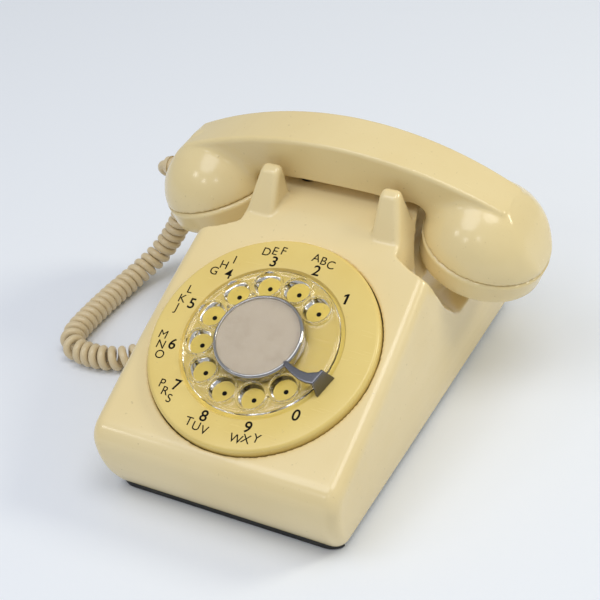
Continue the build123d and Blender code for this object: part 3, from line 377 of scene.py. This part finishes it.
moulding_colours = ("Fresh", "Aged", "Grime")
moulding_numbers = ("Gloss", "Scuffs", "Patches")
aged_moulding, given, place = new_group("aged_moulding", moulding_colours, moulding_numbers)
age_patch = noise(aged_moulding, place, given["Patches"], detail=3.0)
age_patch = ramped(aged_moulding, age_patch, 0.38, 0.68, 0.0, 1.0)
age_specks = noise(aged_moulding, place, age_speck_scale, detail=2.0)
age_specks = ramped(aged_moulding, age_specks, 0.70, 0.80, 0.0, 0.4)
age_scratches = stretched(aged_moulding, place, age_scratch_scale)
age_scratches = noise(aged_moulding, age_scratches, scale=1.0, detail=3.0)
age_scratches = ramped(aged_moulding, age_scratches, 0.60, 0.75, 0.0, 1.0)
age_colour = mixed_colours(aged_moulding, age_patch, given["Fresh"], given["Aged"])
age_colour = mixed_colours(aged_moulding, age_specks, age_colour, given["Grime"])
age_rough = reckoned(aged_moulding, "MULTIPLY", age_scratches, given["Scuffs"])
age_rough = reckoned(aged_moulding, "ADD", age_rough, given["Gloss"])
age_marks = reckoned(aged_moulding, "MULTIPLY", age_scratches, age_scratch_depth)
age_skin = noise(aged_moulding, place, age_skin_scale, detail=1.0)
age_skin = reckoned(aged_moulding, "SUBTRACT", age_skin, age_marks)
group_result(aged_moulding, age_colour, age_rough, age_skin)

ivory_values = {
    "Fresh": (0.82, 0.67, 0.37, 1),
    "Aged": (0.79, 0.63, 0.32, 1),
    "Grime": (0.40, 0.31, 0.18, 1),
    "Gloss": 0.20,
    "Scuffs": 0.06,
    "Patches": 16.0,
}
ivory_coat = {"Coat_Weight": 0.15, "Coat_Roughness": 0.08}
ivory_shell = finished("ivory_shell", aged_moulding, ivory_values, bump=0.05, edge=housing_edge, **ivory_coat)
housing = moulded_piece("housing_shell", merged_copy("housing"), housing_voxel, housing_rounds, housing_share)
dress(housing, ivory_shell)
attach(housing, "base")
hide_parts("housing")


# Ringer, hook switch and dial works
# Stamped and turned pieces of plated steel and brass, riveted together behind the dial and on the base plate.
# Coils are enamelled copper wire on moulded spools, and the network is potted in a dark moulded box.
brass_values = {"Bright": (0.75, 0.55, 0.24, 1), "Dull": (0.48, 0.33, 0.14, 1), "Polish": 0.22, "Wear": 0.25}
works_brass = finished("works_brass", worn_metal, brass_values, bump=0.10, Metallic=1.0)
copper_values = {"Bright": (0.62, 0.24, 0.10, 1), "Dull": (0.42, 0.14, 0.06, 1), "Polish": 0.28, "Wear": 0.20}
coil_copper = finished("coil_copper", worn_metal, copper_values, bump=0.40, Metallic=1.0)
dark_values = {"Body": (0.030, 0.026, 0.022, 1), "Dust": (0.08, 0.07, 0.06, 1), "Matt": 0.40, "Grain": 0.5}
dark_moulding = finished("dark_moulding", matt_skin, dark_values, bump=0.20)
works_finishes = {
    "zinc_sheet": zinc_sheet,
    "works_brass": works_brass,
    "coil_copper": coil_copper,
    "dark_moulding": dark_moulding,
}
for subpart in frame["record"]["subparts"]:
    if subpart["material_slot"] in works_finishes:
        dress(frame["nodes"][subpart["node"]], works_finishes[subpart["material_slot"]])


# Number ring
# A cream plastic ring with a rounded shoulder stands up round the dial in the housing's round opening.
# Digits and letters are printed on its raised band, and a dot under each finger hole on its sunk middle.
ring_radius = 57.15
ring_shoulder = 2.1
ring_band = 2.7
ring_step_radius = 40.0
ring_step_height = 0.9
ring_back = -3.9
ring_bore = 3.4
ring_turns = 192
ring_lip_round = 0.4
ring_lip_slope = 1.1
crisp_angle = 40
lathe_merge = 0.001
hole_circle = 29.9
hole_first = 47.3
hole_step = 30.0
hole_count = 10
digit_circle = 44.4
digit_lead = -0.6
digit_size = 8.0
digit_boldness = 0.12
four_boldness = 0.02
letter_circle = 50.4
letter_size = 6.3
letter_boldness = 0.02
letter_steps = {2: 5.0, 3: 5.0, 4: 6.5, 5: 6.8, 6: 6.2, 7: 5.3, 8: 5.4, 9: 5.7}
dot_radius = 1.2
dot_sides = 40
ink_depth = 0.04
letters_by_digit = {2: "ABC", 3: "DEF", 4: "GHI", 5: "JKL", 6: "MNO", 7: "PRS", 8: "TUV", 9: "WXY"}
first_upturned_digit = 6
one_outline = [
    (-0.02, -0.36),
    (0.13, -0.36),
    (0.13, 0.36),
    (0.02, 0.36),
    (-0.16, 0.24),
    (-0.16, 0.10),
    (-0.02, 0.18),
]

dial_joint = next(joint for joint in frame["joints"] if joint["name"] == "dial_turn")
dial_out = -Vector(dial_joint["axis"])
dial_up = dial_out.cross(Vector((1, 0, 0)))
dial_facing = Matrix((Vector((1, 0, 0)), dial_up, dial_out)).transposed().to_4x4()
dial_place = Matrix.Translation(dial_joint["pos_m"]) @ dial_facing @ Matrix.Scale(mm, 4)


def lathe_mesh(name, outline, turns):
    """Turns a closed outline of radius and height round the dial's axis."""
    shape = bmesh.new()
    verts = [shape.verts.new((radius, 0, height)) for radius, height in outline]
    edges = [shape.edges.new(pair) for pair in zip(verts, verts[1:] + verts[:1])]
    centre = {"cent": (0, 0, 0), "axis": (0, 0, 1), "angle": 2 * math.pi, "steps": turns}
    bmesh.ops.spin(shape, geom=verts + edges, use_merge=True, **centre)
    bmesh.ops.remove_doubles(shape, verts=shape.verts, dist=lathe_merge)
    bmesh.ops.recalc_face_normals(shape, faces=shape.faces)
    mesh = bpy.data.meshes.new(name)
    shape.to_mesh(mesh)
    shape.free()
    return mesh


def arc_points(centre, radius, start, stop, count):
    points = []
    for index in range(count + 1):
        angle = math.radians(start + (stop - start) * index / count)
        points.append((centre[0] + radius * math.cos(angle), centre[1] + radius * math.sin(angle)))
    return points


ring_middle = (ring_radius - ring_shoulder, ring_band - ring_shoulder)
ring_lip = (ring_step_radius + ring_lip_slope, ring_band - ring_lip_round)
ring_outline = arc_points(ring_middle, ring_shoulder, 0, 90, 8)
ring_outline += arc_points(ring_lip, ring_lip_round, 90, 160, 4)
ring_outline += [(ring_step_radius, ring_step_height)]
ring_outline += [(ring_bore, ring_step_height), (ring_bore, ring_back), (ring_radius, ring_back)]
ring_mesh = lathe_mesh("number_ring", ring_outline, ring_turns)
ring_mesh.transform(dial_place)
ring = settled(new_piece("number_ring", ring_mesh), crisp_angle)
cream_values = {
    "Fresh": (0.78, 0.60, 0.20, 1),
    "Aged": (0.73, 0.54, 0.16, 1),
    "Grime": (0.40, 0.30, 0.14, 1),
    "Gloss": 0.26,
    "Scuffs": 0.03,
    "Patches": 22.0,
}
cream_ring = finished("cream_ring", aged_moulding, cream_values, bump=0.06)
dress(ring, cream_ring)
# The sunk middle gets a deeper yellow copy of the cream: painted shade of the light that the clear wheel over it
# holds back.
middle_shade_values = {**cream_values, "Fresh": (0.757, 0.572, 0.125, 1), "Aged": (0.708, 0.515, 0.10, 1)}
ring.data.materials.append(finished("painted_shade_cream", aged_moulding, middle_shade_values, bump=0.06))
for polygon in ring.data.polygons:
    spot = dial_place.inverted() @ polygon.center
    polygon.material_index = int(math.hypot(spot.x, spot.y) < ring_step_radius)
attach(ring, "base")
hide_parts("dial_number_ring")


def word_mesh(word, size, boldness):
    """A raised mesh of a digit or letter, centred on its own middle."""
    curve = bpy.data.curves.new("word", "FONT")
    curve.body = word
    curve.size = size
    curve.align_x = "CENTER"
    curve.align_y = "CENTER"
    curve.extrude = ink_depth
    curve.offset = boldness
    text = linked(bpy.data.objects.new("word", curve))
    mesh = evaluated_mesh(text)
    bpy.data.objects.remove(text)
    low = Vector([min(vertex.co[axis] for vertex in mesh.vertices) for axis in range(3)])
    high = Vector([max(vertex.co[axis] for vertex in mesh.vertices) for axis in range(3)])
    mesh.transform(Matrix.Translation(-(low + high) / 2))
    return mesh


def one_mesh(size):
    shape = bmesh.new()
    back = [shape.verts.new((x * size, y * size, -ink_depth)) for x, y in one_outline]
    front = [shape.verts.new((x * size, y * size, ink_depth)) for x, y in one_outline]
    shape.faces.new(back[::-1])
    shape.faces.new(front)
    for index in range(len(one_outline)):
        shape.faces.new((back[index - 1], back[index], front[index], front[index - 1]))
    mesh = bpy.data.meshes.new("one")
    shape.to_mesh(mesh)
    shape.free()
    return mesh


def printed(shape, word, size, boldness, circle, angle):
    """Prints one digit or letter on the ring. The 6 is a 9 turned round."""
    if word == "1":
        mesh = one_mesh(size)
    elif word == "6":
        mesh = word_mesh("9", size, boldness)
        mesh.transform(Matrix.Rotation(math.pi, 4, "Z"))
    else:
        mesh = word_mesh(word, size, boldness)
    turn = math.radians(angle)
    mesh.transform(Matrix.Translation((circle * math.cos(turn), circle * math.sin(turn), ring_band)))
    shape.from_mesh(mesh)


print_shape = bmesh.new()
for index in range(hole_count):
    digit = (index + 1) % hole_count
    digit_angle = hole_first + digit_lead + hole_step * index
    boldness = four_boldness if digit == 4 else digit_boldness
    printed(print_shape, str(digit), digit_size, boldness, digit_circle, digit_angle)
    letter_way = 1 if digit >= first_upturned_digit else -1
    for number, letter in enumerate(letters_by_digit.get(digit, "")):
        letter_angle = digit_angle + letter_way * letter_steps[digit] * (number - 1)
        boldness = 0.0 if letter == "M" else letter_boldness
        printed(print_shape, letter, letter_size, boldness, letter_circle, letter_angle)
print_mesh = bpy.data.meshes.new("dial_print")
print_shape.to_mesh(print_mesh)
print_shape.free()
print_mesh.transform(dial_place)
ink_values = {"Body": (0.008, 0.007, 0.006, 1), "Dust": (0.016, 0.014, 0.010, 1), "Matt": 0.55, "Grain": 0.3}
dial_ink = finished("dial_ink", matt_skin, ink_values, bump=0.1, Specular_IOR_Level=0.05)
dial_print = dress(new_piece("dial_print", print_mesh), dial_ink)
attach(dial_print, "base")


def tree_input(tree, label, kind):
    return tree.interface.new_socket(label, in_out="INPUT", socket_type=kind).identifier


dot_tree = bpy.data.node_groups.new("ring_of_dots", "GeometryNodeTree")
dot_inputs = {
    "Count": (tree_input(dot_tree, "Count", "NodeSocketInt"), hole_count),
    "Circle": (tree_input(dot_tree, "Circle", "NodeSocketFloat"), hole_circle),
    "Dot radius": (tree_input(dot_tree, "Dot radius", "NodeSocketFloat"), dot_radius),
    "First": (tree_input(dot_tree, "First", "NodeSocketFloat"), math.radians(hole_first)),
    "Step": (tree_input(dot_tree, "Step", "NodeSocketFloat"), math.radians(hole_step)),
    "Depth": (tree_input(dot_tree, "Depth", "NodeSocketFloat"), 2 * ink_depth),
}
dot_tree.interface.new_socket("Geometry", in_out="OUTPUT", socket_type="NodeSocketGeometry")
dot_given = dot_tree.nodes.new("NodeGroupInput").outputs
dot_index = dot_tree.nodes.new("GeometryNodeInputIndex").outputs["Index"]
dot_angle = reckoned(dot_tree, "MULTIPLY", dot_index, dot_given["Step"])
dot_angle = reckoned(dot_tree, "ADD", dot_angle, dot_given["First"])
dot_x = reckoned(dot_tree, "MULTIPLY", reckoned(dot_tree, "COSINE", dot_angle, 0.0), dot_given["Circle"])
dot_y = reckoned(dot_tree, "MULTIPLY", reckoned(dot_tree, "SINE", dot_angle, 0.0), dot_given["Circle"])
dot_spot = add_node(dot_tree, "ShaderNodeCombineXYZ", {"X": dot_x, "Y": dot_y}).outputs["Vector"]
dot_points = add_node(dot_tree, "GeometryNodePoints", {"Count": dot_given["Count"], "Position": dot_spot})
dot_sizes = {"Vertices": dot_sides, "Radius": dot_given["Dot radius"], "Depth": dot_given["Depth"]}
dot_disc = add_node(dot_tree, "GeometryNodeMeshCylinder", dot_sizes)
dot_pair = {"Points": dot_points.outputs["Points"], "Instance": dot_disc.outputs["Mesh"]}
dot_set = add_node(dot_tree, "GeometryNodeInstanceOnPoints", dot_pair).outputs["Instances"]
dot_set = add_node(dot_tree, "GeometryNodeRealizeInstances", {"Geometry": dot_set}).outputs["Geometry"]
dot_set = add_node(dot_tree, "GeometryNodeSetMaterial", {"Geometry": dot_set, "Material": dial_ink})
add_node(dot_tree, "NodeGroupOutput", {"Geometry": dot_set.outputs["Geometry"]})
dots = new_piece("dial_dots", bpy.data.meshes.new("dial_dots"))
dot_modifier = dots.modifiers.new("dots", "NODES")
dot_modifier.node_group = dot_tree
for identifier, value in dot_inputs.values():
    dot_modifier[identifier] = value
settled(dots, crisp_angle)
dots.data.transform(dial_place @ Matrix.Translation((0, 0, ring_step_height)))
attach(dots, "base")


# Finger wheel
# One clear acrylic moulding turns on the dial's shaft. Each of its ten holes has a raised, rounded lip,
# and the stretch between hole 1 and the finger stop is left plain.
wheel_voxel = 0.41 * mm
wheel_rounds = 5
wheel_lip_radius = 7.2
wheel_lip_height = 5.5
wheel_lip_round = 0.70
wheel_lip_turns = 48
wheel_lip_sides = 12
wheel_colour = (0.88, 0.87, 0.87, 1)
wheel_shadow = 0.72
wheel_refraction = 1.52
wheel_coat = 0.3
wheel_coat_refraction = 1.7
wheel_scuff_scale = 240.0


def torus_into(shape, centre, radius, round_radius, turns, sides):
    section = []
    for side in range(sides):
        lean = 2 * math.pi * side / sides
        section.append((radius + round_radius * math.cos(lean), round_radius * math.sin(lean)))
    rings = []
    for turn in range(turns):
        angle = 2 * math.pi * turn / turns
        spots = [Vector((reach * math.cos(angle), reach * math.sin(angle), rise)) for reach, rise in section]
        rings.append([shape.verts.new(centre + spot) for spot in spots])
    for first, second in zip(rings, rings[1:] + rings[:1]):
        for side in range(sides):
            following = (side + 1) % sides
            shape.faces.new((first[side], second[side], second[following], first[following]))


lip_shape = bmesh.new()
for index in range(hole_count):
    lip_angle = math.radians(hole_first + hole_step * index)
    lip_x = hole_circle * math.cos(lip_angle)
    lip_y = hole_circle * math.sin(lip_angle)
    lip_centre = Vector((lip_x, lip_y, wheel_lip_height))
    torus_into(lip_shape, lip_centre, wheel_lip_radius, wheel_lip_round, wheel_lip_turns, wheel_lip_sides)
lip_mesh = bpy.data.meshes.new("lips")
lip_shape.to_mesh(lip_mesh)
lip_shape.free()
lip_mesh.transform(dial_place)
wheel_shape = bmesh.new()
wheel_shape.from_mesh(merged_copy("finger_wheel"))
wheel_shape.from_mesh(lip_mesh)
wheel_mesh = bpy.data.meshes.new("finger_wheel")
wheel_shape.to_mesh(wheel_mesh)
wheel_shape.free()
wheel = moulded_piece("clear_finger_wheel", wheel_mesh, wheel_voxel, wheel_rounds)
clear_wheel, clear_tree, clear_shader = new_material("clear_wheel")
clear_place = clear_tree.nodes.new("ShaderNodeTexCoord").outputs["Object"]
clear_scuffs = noise(clear_tree, clear_place, wheel_scuff_scale, detail=5.0)
clear_scuffs = ramped(clear_tree, clear_scuffs, 0.45, 0.85, 0.03, 0.14)
clear_tree.links.new(clear_scuffs, clear_shader.inputs["Roughness"])
clear_shadow = clear_tree.nodes.new("ShaderNodeLightPath").outputs["Is Shadow Ray"]
clear_shadow = ramped(clear_tree, clear_shadow, 0.0, 1.0, 1.0, 1 - wheel_shadow)
clear_tree.links.new(clear_shadow, clear_shader.inputs["Alpha"])
clear_shader.inputs["Base Color"].default_value = wheel_colour
clear_shader.inputs["IOR"].default_value = wheel_refraction
clear_shader.inputs["Transmission Weight"].default_value = 1.0
clear_shader.inputs["Coat Weight"].default_value = wheel_coat
clear_shader.inputs["Coat IOR"].default_value = wheel_coat_refraction
dress(wheel, clear_wheel)
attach(wheel, "dial_rotor")
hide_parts("finger_wheel")


# Number card, its cover and its rim
# A bare paper card lies in the middle of the wheel under a clear domed cover.
# A bright spun ring snaps over both and holds them to the wheel's hub.
cover_radius = 20.6
cover_low = 7.72
cover_edge = 0.78
cover_crown = 0.5
cover_steps = 12
cover_turns = 96
cover_refraction = 1.18
cover_shadow_share = 0.1
cover_scuff_scale = 320.0
rim_edge = 0.25 * mm
rim_edge_angle = 25
rim_edge_steps = 3
paper_values = {"Body": (0.52, 0.44, 0.34, 1), "Dust": (0.42, 0.35, 0.27, 1), "Matt": 0.75, "Grain": 1.0}
dress(frame["nodes"]["number_card"], finished("card_paper", matt_skin, paper_values, bump=0.3))
clear_cover, cover_tree, cover_shader = new_material("clear_cover")
cover_place = cover_tree.nodes.new("ShaderNodeTexCoord").outputs["Object"]
cover_scuffs = noise(cover_tree, cover_place, cover_scuff_scale, detail=5.0)
cover_scuffs = ramped(cover_tree, cover_scuffs, 0.45, 0.85, 0.10, 0.30)
cover_tree.links.new(cover_scuffs, cover_shader.inputs["Roughness"])
cover_shadow = cover_tree.nodes.new("ShaderNodeLightPath").outputs["Is Shadow Ray"]
cover_shadow = ramped(cover_tree, cover_shadow, 0.0, 1.0, 1.0, cover_shadow_share)
cover_tree.links.new(cover_shadow, cover_shader.inputs["Alpha"])
cover_shader.inputs["IOR"].default_value = cover_refraction
cover_shader.inputs["Transmission Weight"].default_value = 1.0
cover_outline = [(0, cover_low), (cover_radius, cover_low)]
for step in range(cover_steps, -1, -1):
    share = step / cover_steps
    cover_outline.append((cover_radius * share, cover_low + cover_edge + cover_crown * (1 - share**2)))
cover_mesh = lathe_mesh("card_cover", cover_outline, cover_turns)
cover_mesh.transform(dial_place)
cover = dress(settled(new_piece("clear_card_cover", cover_mesh), crisp_angle), clear_cover)
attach(cover, "dial_rotor")
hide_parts("card_cover")
chrome_values = {"Bright": (0.48, 0.47, 0.46, 1), "Dull": (0.38, 0.37, 0.36, 1), "Polish": 0.12, "Wear": 0.10}
bright_chrome = finished("bright_chrome", worn_metal, chrome_values, bump=0.03, Metallic=1.0)
card_rim = new_piece("bright_card_rim", merged_copy("card_rim"))
rim_bevel = card_rim.modifiers.new("edge", "BEVEL")
rim_bevel.width = rim_edge
rim_bevel.segments = rim_edge_steps
rim_bevel.limit_method = "ANGLE"
rim_bevel.angle_limit = math.radians(rim_edge_angle)
dress(settled(card_rim, crisp_angle), bright_chrome)
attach(card_rim, "dial_rotor")
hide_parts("card_rim")


# Finger stop
# One bent piece of pressed steel, nickel plated: a flange screwed to the number ring,
# and a claw-shaped arm that reaches in over the wheel and stops the finger.
stop_turn = math.radians(-19)
stop_radius = 45.0
stop_low = 9.4
stop_high = 11.0
stop_thickness = 1.5
stop_arm = [
    (-24.2, -3.5),
    (-23.2, -2.2),
    (-18.5, -2.4),
    (-14.1, -2.1),
    (-10.3, -1.0),
    (-7.5, 1.2),
    (-4.9, 3.9),
    (-4.6, -3.9),
    (-7.9, -5.4),
    (-12.0, -6.1),
    (-17.3, -5.7),
    (-21.8, -4.9),
]
stop_flange = [(-4.9, 3.9), (-4.6, -3.9), (-2.2, -5.9), (-2.4, 6.3)]
stop_voxel = 0.28 * mm
stop_rounds = 4


def prism_into(shape, low_corners, high_corners):
    low = [shape.verts.new(corner) for corner in low_corners]
    high = [shape.verts.new(corner) for corner in high_corners]
    faces = [shape.faces.new(low[::-1]), shape.faces.new(high)]
    for index in range(len(low)):
        faces.append(shape.faces.new((low[index - 1], low[index], high[index], high[index - 1])))
    bmesh.ops.recalc_face_normals(shape, faces=faces)


stop_shape = bmesh.new()
prism_into(stop_shape, [(x, y, stop_low) for x, y in stop_arm], [(x, y, stop_high) for x, y in stop_arm])
flange_heights = (stop_high, stop_high, ring_band, ring_band)
flange_face = [(x, y, height) for (x, y), height in zip(stop_flange, flange_heights)]
prism_into(stop_shape, [(x - stop_thickness, y, height) for x, y, height in flange_face], flange_face)
stop_mesh = bpy.data.meshes.new("finger_stop")
stop_shape.to_mesh(stop_mesh)
stop_shape.free()
stop_place = Matrix.Rotation(stop_turn, 4, "Z") @ Matrix.Translation((stop_radius, 0, 0))
stop_mesh.transform(dial_place @ stop_place)
# The nickel's colour is kept dark to paint the dark reflections that the stop shows.
nickel_values = {"Bright": (0.20, 0.20, 0.22, 1), "Dull": (0.14, 0.14, 0.15, 1), "Polish": 0.18, "Wear": 0.12}
dark_reflection_nickel = finished("dark_reflection_nickel", worn_metal, nickel_values, bump=0.03, Metallic=1.0)
stop = dress(moulded_piece("nickel_finger_stop", stop_mesh, stop_voxel, stop_rounds), dark_reflection_nickel)
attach(stop, "base")
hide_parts("finger_stop")


# Handset
# The handle is one tan moulding: a flat-topped grip whose sides flow into two domed cups.
# Screwed caps with pierced faces close the cups over the transmitter and the receiver.
handset_edge = 0.6 * mm
handset_crease = 30
handset_middle = Vector((2.10, 53.57, 79.0)) * mm
handset_rise = 46.5 * mm
grip_arc = 205 * mm
grip_half = 13.2 * mm
cup_span = 74.5 * mm
cup_tilt = math.radians(17)
cup_radius = 32.05 * mm
handle_voxel = 0.75 * mm
handle_rounds = 2
handle_share = 0.6
flow_core = 6 * mm
flow_reach = 15 * mm
flow_rounds = 180
flow_off_seam = (4 * mm, 10 * mm)
flow_off_top = (3 * mm, 8 * mm)


def faded(value, low, high):
    return min(1.0, max(0.0, (value - low) / (high - low)))


def flow_weight(place):
    """Share of smoothing where the grip's side meets a cup, none at the grip's top or at the seam."""
    span = abs(place.x) - cup_span
    off_cup = math.sqrt(span**2 + place.y**2 + place.z**2) - cup_radius
    away = math.hypot(off_cup, abs(place.y) - grip_half)
    over_seam = span * math.sin(cup_tilt) + place.z * math.cos(cup_tilt)
    under_top = handset_rise - grip_arc + math.sqrt(grip_arc**2 - place.x**2) - place.z
    near = 1 - faded(away, flow_core, flow_reach)
    return near * faded(over_seam, *flow_off_seam) * faded(under_top, *flow_off_top)


def flowing_grip(name, node):
    """The handle meshed anew, with the grip's sides smoothed into the cups."""
    grip = moulded_piece(name, merged_copy(node), handle_voxel, handle_rounds)
    group = grip.vertex_groups.new(name="flow")
    for vertex in grip.data.vertices:
        weight = flow_weight(vertex.co - handset_middle)
        if weight > 0:
            group.add([vertex.index], weight, "REPLACE")
    smooth = grip.modifiers.new("flow", "SMOOTH")
    smooth.vertex_group = group.name
    smooth.iterations = flow_rounds
    grip.modifiers.new("thin", "DECIMATE").ratio = handle_share
    return settled(grip)


def cad_piece(name, node, crease):
    """A smoothly shaded copy of a CAD node, with edges past the crease kept sharp."""
    piece = new_piece(name, merged_copy(node))
    piece.data.shade_smooth()
    piece.data.set_sharp_from_angle(angle=math.radians(crease))
    piece.modifiers.new("even", "WEIGHTED_NORMAL").keep_sharp = True
    piece.data = evaluated_mesh(piece)
    piece.modifiers.clear()
    return piece


tan_values = {
    "Fresh": (0.80, 0.65, 0.34, 1),
    "Aged": (0.77, 0.61, 0.30, 1),
    "Grime": (0.30, 0.22, 0.13, 1),
    "Gloss": 0.22,
    "Scuffs": 0.06,
    "Patches": 18.0,
}
tan_coat = {"Coat_Weight": 0.25, "Coat_Roughness": 0.10}
tan_handset = finished("tan_handset", aged_moulding, tan_values, bump=0.05, edge=handset_edge, **tan_coat)
handset_pieces = [
    (flowing_grip("handset_grip", "handset_handle"), "handset_handle"),
    (cad_piece("transmitter_cover", "transmitter_cap", handset_crease), "transmitter_cap"),
    (cad_piece("receiver_cover", "receiver_cap", handset_crease), "receiver_cap"),
]
for piece, node_name in handset_pieces:
    dress(piece, tan_handset)
    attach(piece, "handset")
    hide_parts(node_name)


# Curly handset cord
# A vinyl-sleeved cord wound into tight curls, from the handset's bushing down to the table
# and into the grommet in the housing's left wall. The helix is wound round the route's spline.
cord_diameter = 4.3 * mm
cord_end_diameter = 5.8 * mm
cord_winding_radius = 4.6 * mm
cord_winding_gap = 0.12 * mm
cord_plain_start = 24 * mm
cord_plain_end = 12 * mm
cord_growth = 12 * mm
cord_growth_pitch = 10 * mm
cord_loose_pitch = 4 * mm
cord_loose_length = 50 * mm
cord_bend_limit = 0.6
cord_line_steps = 240
cord_point_gap = 1.2 * mm
cord_roundness = 4
cord_route = [
    (-0.09870, 0.05357, 0.0815),
    (-0.10420, 0.05357, 0.0815),
    (-0.10830, 0.05357, 0.0815),
    (-0.11130, 0.05407, 0.0792),
    (-0.11160, 0.05537, 0.0754),
    (-0.10890, 0.05757, 0.0726),
    (-0.10630, 0.06157, 0.0714),
    (-0.10650, 0.06707, 0.0695),
    (-0.10870, 0.07207, 0.0630),
    (-0.10970, 0.07057, 0.0500),
    (-0.11270, 0.06707, 0.0370),
    (-0.11870, 0.06357, 0.0250),
    (-0.12670, 0.05657, 0.0135),
    (-0.13470, 0.04057, 0.0069),
    (-0.13820, 0.01257, 0.0069),
    (-0.13870, -0.02343, 0.0069),
    (-0.11370, -0.02643, 0.0069),
    (-0.09570, -0.01943, 0.0072),
    (-0.08170, -0.00343, 0.0095),
    (-0.06970, -0.00343, 0.0100),
    (-0.05870, -0.00343, 0.0100),
]


def spline_line(points, steps):
    """Points along a smooth spline that follows the route."""
    curve = bpy.data.curves.new("route", "CURVE")
    curve.dimensions = "3D"
    spline = curve.splines.new("NURBS")
    spline.points.add(len(points) - 1)
    for point, place in zip(spline.points, points):
        point.co = (*place, 1)
    spline.order_u = 3
    spline.use_endpoint_u = True
    spline.resolution_u = steps
    route = linked(bpy.data.objects.new("route", curve))
    line = [vertex.co.copy() for vertex in evaluated_mesh(route).vertices]
    bpy.data.objects.remove(route)
    return line


def wound_line(line):
    """Winds the cord round its route: plain at both ends, in tight curls between."""
    runs = [(after - before).length for before, after in zip(line, line[1:])]
    ways = [(after - before).normalized() for before, after in zip(line, line[1:])]
    total = sum(runs)
    side = ways[0].cross(Vector((0, 0, 1))).normalized()
    done = 0.0
    turns = 0.0
    wound = []
    for index, way in enumerate(ways):
        side = (side - way * side.dot(way)).normalized()
        way_before = ways[max(index - 1, 0)]
        bend = way_before.angle(way, 0) / runs[index]
        left = total - cord_plain_end - done
        grown = min(1.0, max(0.0, min(done - cord_plain_start, left) / cord_growth))
        loose = max(0.0, 1 - left / cord_loose_length)
        pitch = (cord_diameter + cord_winding_gap) / (1 - min(cord_bend_limit, cord_winding_radius * bend))
        pitch += cord_loose_pitch * loose + cord_growth_pitch * (1 - grown)
        if grown:
            turns += runs[index] / pitch
        angle = 2 * math.pi * turns
        out = side * math.cos(angle) + way.cross(side) * math.sin(angle)
        wound.append(line[index] + out * (cord_winding_radius * grown**2 * (3 - 2 * grown)))
        done += runs[index]
    return wound + [line[-1]]


def thinned(line, step):
    """Keeps points at least a step apart, and both ends."""
    kept = [line[0]]
    for point in line[1:-1]:
        if (point - kept[-1]).length >= step:
            kept.append(point)
    if (line[-1] - kept[-1]).length < step:
        kept.pop()
    return kept + [line[-1]]


def tube_mesh(line, diameter, end_diameter, end_length):
    """A closed tube along a line, swelling towards both ends."""
    curve = bpy.data.curves.new("tube", "CURVE")
    curve.dimensions = "3D"
    curve.twist_mode = "MINIMUM"
    curve.bevel_depth = diameter / 2
    curve.bevel_resolution = cord_roundness
    curve.use_fill_caps = True
    spline = curve.splines.new("POLY")
    spline.points.add(len(line) - 1)
    runs = [0.0]
    for before, after in zip(line, line[1:]):
        runs.append(runs[-1] + (after - before).length)
    for point, place, run in zip(spline.points, line, runs):
        point.co = (*place, 1)
        swell = 1 - faded(min(run, runs[-1] - run), 0.0, end_length)
        point.radius = 1 + (end_diameter / diameter - 1) * swell
    tube = linked(bpy.data.objects.new("tube", curve))
    mesh = evaluated_mesh(tube)
    bpy.data.objects.remove(tube)
    for polygon in mesh.polygons:
        polygon.use_smooth = True
    return mesh


cord_line = thinned(wound_line(spline_line(cord_route, cord_line_steps)), cord_point_gap)
cord = new_piece("curly_cord", tube_mesh(cord_line, cord_diameter, cord_end_diameter, cord_plain_start))
sleeve_values = {
    "Fresh": (0.72, 0.59, 0.37, 1),
    "Aged": (0.66, 0.53, 0.32, 1),
    "Grime": (0.24, 0.17, 0.10, 1),
    "Gloss": 0.28,
    "Scuffs": 0.15,
    "Patches": 30.0,
}
cord_sleeve = finished("cord_sleeve", aged_moulding, sleeve_values, bump=0.08)
dress(cord, cord_sleeve)
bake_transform(cord)
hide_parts("handset_cord")


# Cord bushing, grommet and line inlet
# Soft moulded sleeves grip the curly cord at the handset and in the left wall.
# The inlet at the rear is the same grommet, ready for the line cord.
dress(frame["nodes"]["cord_bushing"], cord_sleeve)
grommet_values = {"Body": (0.36, 0.29, 0.18, 1), "Dust": (0.25, 0.20, 0.13, 1), "Matt": 0.5, "Grain": 1.0}
grommet_rubber = finished("grommet_rubber", matt_skin, grommet_values, bump=0.3)
for node_name in ("cord_grommet", "line_cord_inlet"):
    dress(frame["nodes"][node_name], grommet_rubber)
